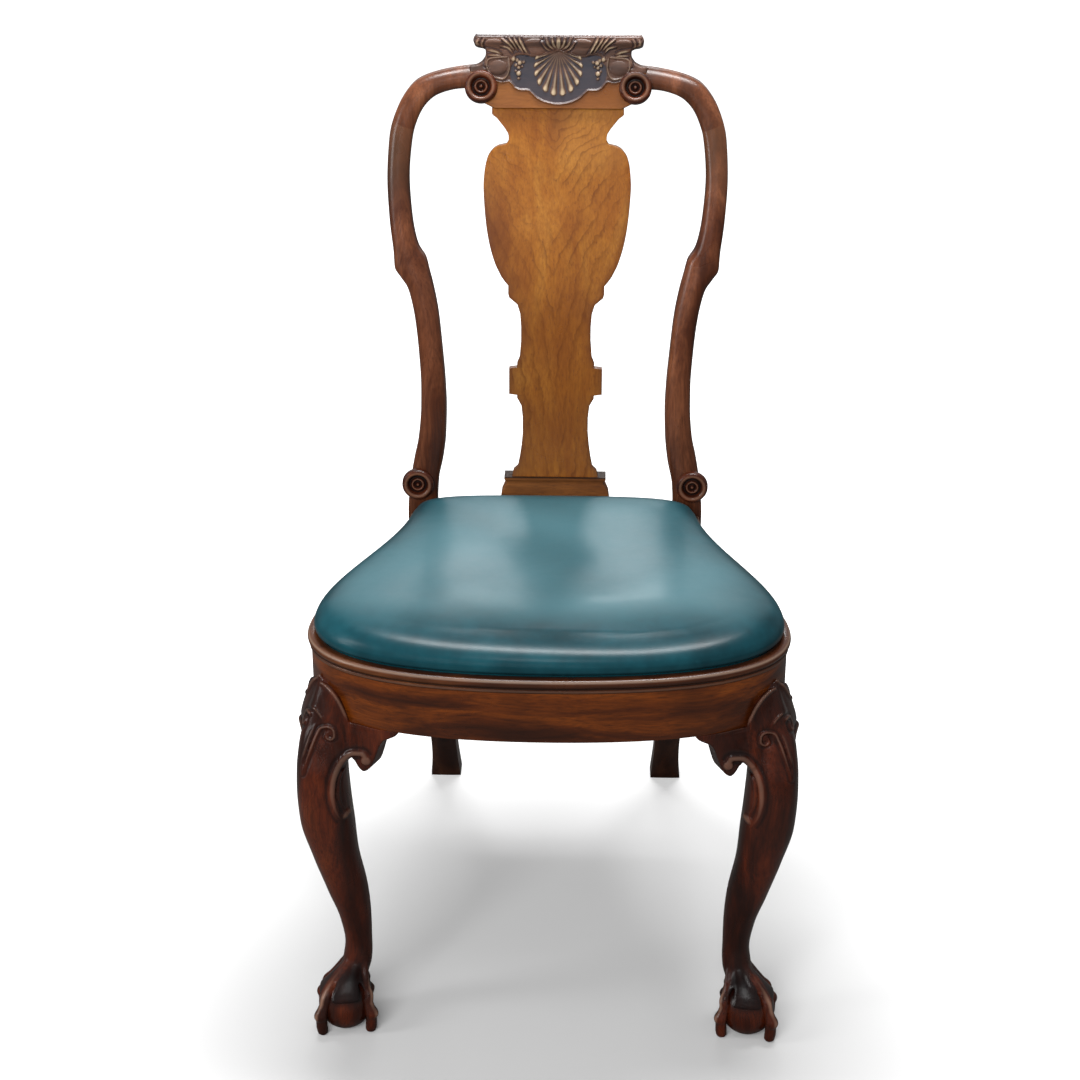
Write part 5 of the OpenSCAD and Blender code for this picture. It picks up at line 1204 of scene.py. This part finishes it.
# The seat: glazed blue-green leather drawn over a crown of hair and wadding, turned under the
# frame and tacked, so that it swells over the rim and pulls in where the rim holds it.
CROWN_H = 40 * MM
SWELL = 7 * MM
FLANGE_W = 33 * MM
LEATHER_T = 1.5 * MM
FRONT_DROP = 7 * MM
FRONT_DROP_Y = FRONT_Y + 130 * MM
# Share of the swell and share of the crown's height, from the rim up to the edge of the crown
SKIRT_SHARES = [(0, 0, 0.0), (0.05, 0, 0.03), (0.16, 0.6, 0.08), (0.27, 0.95, 0.17),
                (0.38, 1, 0.28), (0.5, 0.7, 0.43), (0.62, 0, 0.58), (0.73, -1, 0.71),
                (0.83, -2.3, 0.81), (0.92, -3.9, 0.88), (1, -5.7, 0.925)]
flange_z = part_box("leather_cover")[0][2]


def stuffing_lumps(flat):
    """How far the stuffing lifts or sinks the leather at points of the plan, from four slow
    waves that cross."""
    x, y = flat.T / MM
    return MM * (0.7 * np.sin(x / 31 + 1.1 * np.sin(y / 52)) * np.cos(y / 37 + 0.6)
                 + 0.7 * np.sin(x / 58 - y / 44 + 2.0) + 0.2 * np.cos(x / 19 + y / 23))


def cushion_rings():
    """Rings from the tacked flange under the frame, up the side and in over the crown. The
    side follows the skirt's shares, and the crown rises as 1 minus a power of the distance. The
    front of the crown bows down by the square of the distance ahead of a line, a little more
    on the right."""
    def ring(inset, back, z):
        flat = seat_outline(inset, back)
        return np.column_stack([flat, np.full(len(flat), z)])
    rings = [ring(SEAT_IN + d, SEAT_BACK_GAP + d, flange_z + up) for d, up in
             ((FLANGE_W, LEATHER_T), (FLANGE_W, 0), (FLANGE_W * 0.5, 0), (1.5 * MM, 0),
              (0.4 * MM, 0.4 * MM), (0, 1.5 * MM), (0, 8 * MM))]
    for out, up in along(SKIRT_SHARES, np.linspace(0, 1, 44)):
        rings.append(ring(SEAT_IN - SWELL * out, SEAT_BACK_GAP + SWELL * max(0, -out),
                          SEAT_Z + up * CROWN_H))
    edge = rings[-1]
    side_rings = len(rings)
    for k in np.linspace(1, 0.015, 60)[1:]:
        flat = SEAT_MIDDLE + (edge[:, :2] - SEAT_MIDDLE) * k
        z = SEAT_Z + CROWN_H * (1 - 0.075 * k ** 7)
        rings.append(np.column_stack([flat, z + stuffing_lumps(flat) * (1 - k ** 8)]))
    rings = np.array(rings)
    ahead = np.where(np.arange(len(rings))[:, None] < side_rings, edge[:, 1], rings[..., 1])
    bowed = np.clip((FRONT_DROP_Y - ahead) / (70 * MM), 0, 1) ** 2
    rise = np.clip((rings[..., 2] - SEAT_Z) / CROWN_H, 0, 1)
    uneven = 1 + 0.3 * np.sin(rings[..., 0] / (110 * MM))
    rings[..., 2] -= FRONT_DROP * uneven * bowed * rise ** 2
    return rings


def glazed_leather():
    """Dyed and glazed hide: a pebbled grain, fine creases and a clear glossy finish, bleached
    and dulled where the mesh's worn attribute says that it has been sat on;
    the paler crown is partly this wear and partly a painted reflection of the bright room."""
    hide, shader, place = new_material("glazed_leather")
    cloud = add(hide, "ShaderNodeTexNoise", Vector=place, Scale=1 / (90 * MM), Detail=4.0,
                Roughness=0.6).outputs["Fac"]
    pebble = add(hide, "ShaderNodeTexVoronoi", Vector=place, Scale=1 / (1.5 * MM))
    crease = add(hide, "ShaderNodeTexNoise", Vector=place, Scale=1 / (14 * MM), Detail=5.0,
                 Roughness=0.65).outputs["Fac"]
    fleck = add(hide, "ShaderNodeMapRange", Value=crease, From_Min=0.62, From_Max=0.8,
                To_Max=0.35).outputs["Result"]
    sat_on_and_painted_sheen = add(hide, "ShaderNodeAttribute", attribute_name="worn").outputs["Fac"]
    colour = add(hide, "ShaderNodeValToRGB", Fac=cloud, stops=[
        (0.3, "#0A2A31"), (0.5, "#103C45"), (0.7, "#174C56")]).outputs["Color"]
    for share, tint in ((fleck, "#1A4A54"), (sat_on_and_painted_sheen, "#3B666F")):
        colour = add(hide, "ShaderNodeMix", {0: share, 6: colour, 7: linear(tint)},
                     data_type="RGBA").outputs[2]
    gloss = add(hide, "ShaderNodeMapRange", Value=crease, From_Min=0.3, From_Max=0.75,
                To_Min=0.3, To_Max=0.36).outputs["Result"]
    dull = add(hide, "ShaderNodeMath", {0: sat_on_and_painted_sheen, 1: 0.14, 2: gloss}, operation="MULTIPLY_ADD")
    glaze = add(hide, "ShaderNodeMapRange", Value=sat_on_and_painted_sheen, From_Max=0.8, To_Min=0.2,
                To_Max=0.38).outputs["Result"]
    height = add(hide, "ShaderNodeMath", {0: pebble.outputs["Distance"], 1: crease, 2: crease},
                 operation="MULTIPLY_ADD")
    raised = add(hide, "ShaderNodeBump", Height=height.outputs["Value"], Strength=0.1,
                 Distance=0.4 * MM)
    feed(hide, shader, {"Base Color": colour, "Roughness": dull.outputs["Value"],
                        "Specular IOR Level": glaze, "Coat Weight": 0.13,
                        "Coat Roughness": 0.22, "Normal": raised.outputs["Normal"]})
    return hide


rings = cushion_rings()
# Paler over the crown, less towards the front roll, and patchy with the lumps: partly wear from
# sitting, partly a painted reflection of the bright room
sat_on_and_painted_sheen = smooth_step(rings[..., 2], SEAT_Z + 0.66 * CROWN_H, SEAT_Z + 1.02 * CROWN_H)
sat_on_and_painted_sheen = sat_on_and_painted_sheen * smooth_step(rings[..., 1], FRONT_Y + 35 * MM, FRONT_Y + 120 * MM)
lumps = stuffing_lumps(rings.reshape(-1, 3)[:, :2]).reshape(sat_on_and_painted_sheen.shape) / MM
sat_on_and_painted_sheen = sat_on_and_painted_sheen * (0.8 + 0.2 * lumps)
cushion = ring_piece("leather_seat", rings, glazed_leather(), "drop_in_seat",
                     ("leather_cover", "seat_stuffing"), worn=sat_on_and_painted_sheen, record_slot="leather")

# Studio: a white floor that fades into a white room, darker round the chair where its glow
# fades as a painted shadow, a soft lamp high in front, and window light from above and behind
# that draws the pale reflections on the leather and the carving.
stage_paint, paint, spot = new_material("floor_paint")
rays = add(stage_paint, "ShaderNodeLightPath").outputs["Is Camera Ray"]
ground = add(stage_paint, "ShaderNodeMix", {
    0: rays, 6: (0.13, 0.125, 0.12, 1), 7: (0.66, 0.66, 0.66, 1)}, data_type="RGBA").outputs[2]
# The glow that the camera sees fades near a point a little in front of the chair: a painted shadow
# round it
spot = add(stage_paint, "ShaderNodeMapping", Vector=spot, Location=(0, 0.3, 0))
away = add(stage_paint, "ShaderNodeVectorMath", {0: spot.outputs["Vector"]}, operation="LENGTH")
faded = add(stage_paint, "ShaderNodeMapRange", Value=away.outputs["Value"], From_Min=0.3,
            From_Max=1.05, To_Min=0.04, To_Max=1.1, interpolation_type="SMOOTHSTEP")
glow_round_painted_shadow = add(stage_paint, "ShaderNodeMath", {0: rays, 1: faded.outputs["Result"]},
           operation="MULTIPLY")
feed(stage_paint, paint, {
    "Base Color": ground, "Roughness": 0.9, "Specular IOR Level": 0.0,
    "Emission Color": (1, 1, 1, 1), "Emission Strength": glow_round_painted_shadow.outputs["Value"]})
FLOOR_HALF = 14.0
floor_mesh = bpy.data.meshes.new("floor")
floor_mesh.from_pydata([(-FLOOR_HALF, -FLOOR_HALF, 0), (FLOOR_HALF, -FLOOR_HALF, 0),
                        (FLOOR_HALF, FLOOR_HALF, 0), (-FLOOR_HALF, FLOOR_HALF, 0)], [],
                       [(0, 1, 2, 3)])
floor_mesh.materials.append(stage_paint)
floor = bpy.data.objects.new("floor", floor_mesh)
bpy.context.scene.collection.objects.link(floor)

world = bpy.data.worlds.new("studio")
bpy.context.scene.world = world
world.use_nodes = True
seen = add(world, "ShaderNodeLightPath").outputs["Is Camera Ray"]
level = add(world, "ShaderNodeMapRange", Value=seen, To_Min=0.2).outputs["Result"]
feed(world, world.node_tree.nodes["Background"], {"Color": (1, 1, 1, 1), "Strength": level})


def lamp(name, at, towards, size, power, glossy=True):
    """A rectangular soft lamp of a size in metres, aimed at a point, seen in the polish or
    not."""
    data = bpy.data.lights.new(name, "AREA")
    data.shape = "RECTANGLE"
    data.size, data.size_y = size
    data.energy = power
    made = bpy.data.objects.new(name, data)
    made.location = at
    made.rotation_euler = (Vector(towards) - Vector(at)).to_track_quat("-Z", "Y").to_euler()
    made.visible_glossy = glossy
    bpy.context.scene.collection.objects.link(made)


lamp("front", (-0.9, -3.2, 2.3), (0, 0, 0.5), (2.4, 1.6), 115, glossy=False)
lamp("overhead", (0.1, 0.5, 3.0), (0, -0.1, 0.4), (1.8, 0.5), 75)
lamp("far_wall", (0, 3.6, 2.1), (0, 0, 0.5), (4.5, 2.4), 13)
lamp("window_left", (-0.28, 3.3, 2.4), (0, 0, 0.5), (0.4, 0.5), 7)
lamp("window_right", (0.2, 3.3, 2.4), (0, 0, 0.5), (0.4, 0.5), 9)
lamp("side", (-2.6, -0.8, 1.8), (0, 0, 0.6), (0.5, 1.6), 18)
lamp("skylight", (-0.1, -1.3, 3.0), (0, -0.3, 0), (0.5, 0.4), 5)

# Camera: where the photograph was taken from, at eye level, close and looking down, with the
# turn and the lens that make the chair's seat, back and four feet agree.
yaw, pitch, roll = -0.0178491, 0.4128741, 0.0042566  # radians
ahead = Vector((np.sin(yaw) * np.cos(pitch), np.cos(yaw) * np.cos(pitch), -np.sin(pitch)))
level_right = Vector((np.cos(yaw), -np.sin(yaw), 0))
level_up = level_right.cross(ahead)
right = level_right * np.cos(roll) + level_up * np.sin(roll)
up = level_up * np.cos(roll) - level_right * np.sin(roll)
PHOTO_PIXELS = 1080
FOCAL_PIXELS = 1997.968
SHIFT_PIXELS = (-14.3675, -5.5166)
lens = bpy.data.cameras.new("camera")
lens.sensor_width = 36
lens.lens = FOCAL_PIXELS / PHOTO_PIXELS * lens.sensor_width
lens.shift_x = SHIFT_PIXELS[0] / PHOTO_PIXELS
lens.shift_y = SHIFT_PIXELS[1] / PHOTO_PIXELS
camera = bpy.data.objects.new("camera", lens)
eye = SIGHT_FROM * (-1, 1, 1)
camera.matrix_world = Matrix.Translation(eye) @ Matrix(
    (right, up, -ahead)).transposed().to_4x4()
bpy.context.scene.collection.objects.link(camera)
bpy.context.scene.camera = camera
bpy.context.scene.view_settings.view_transform = "Standard"
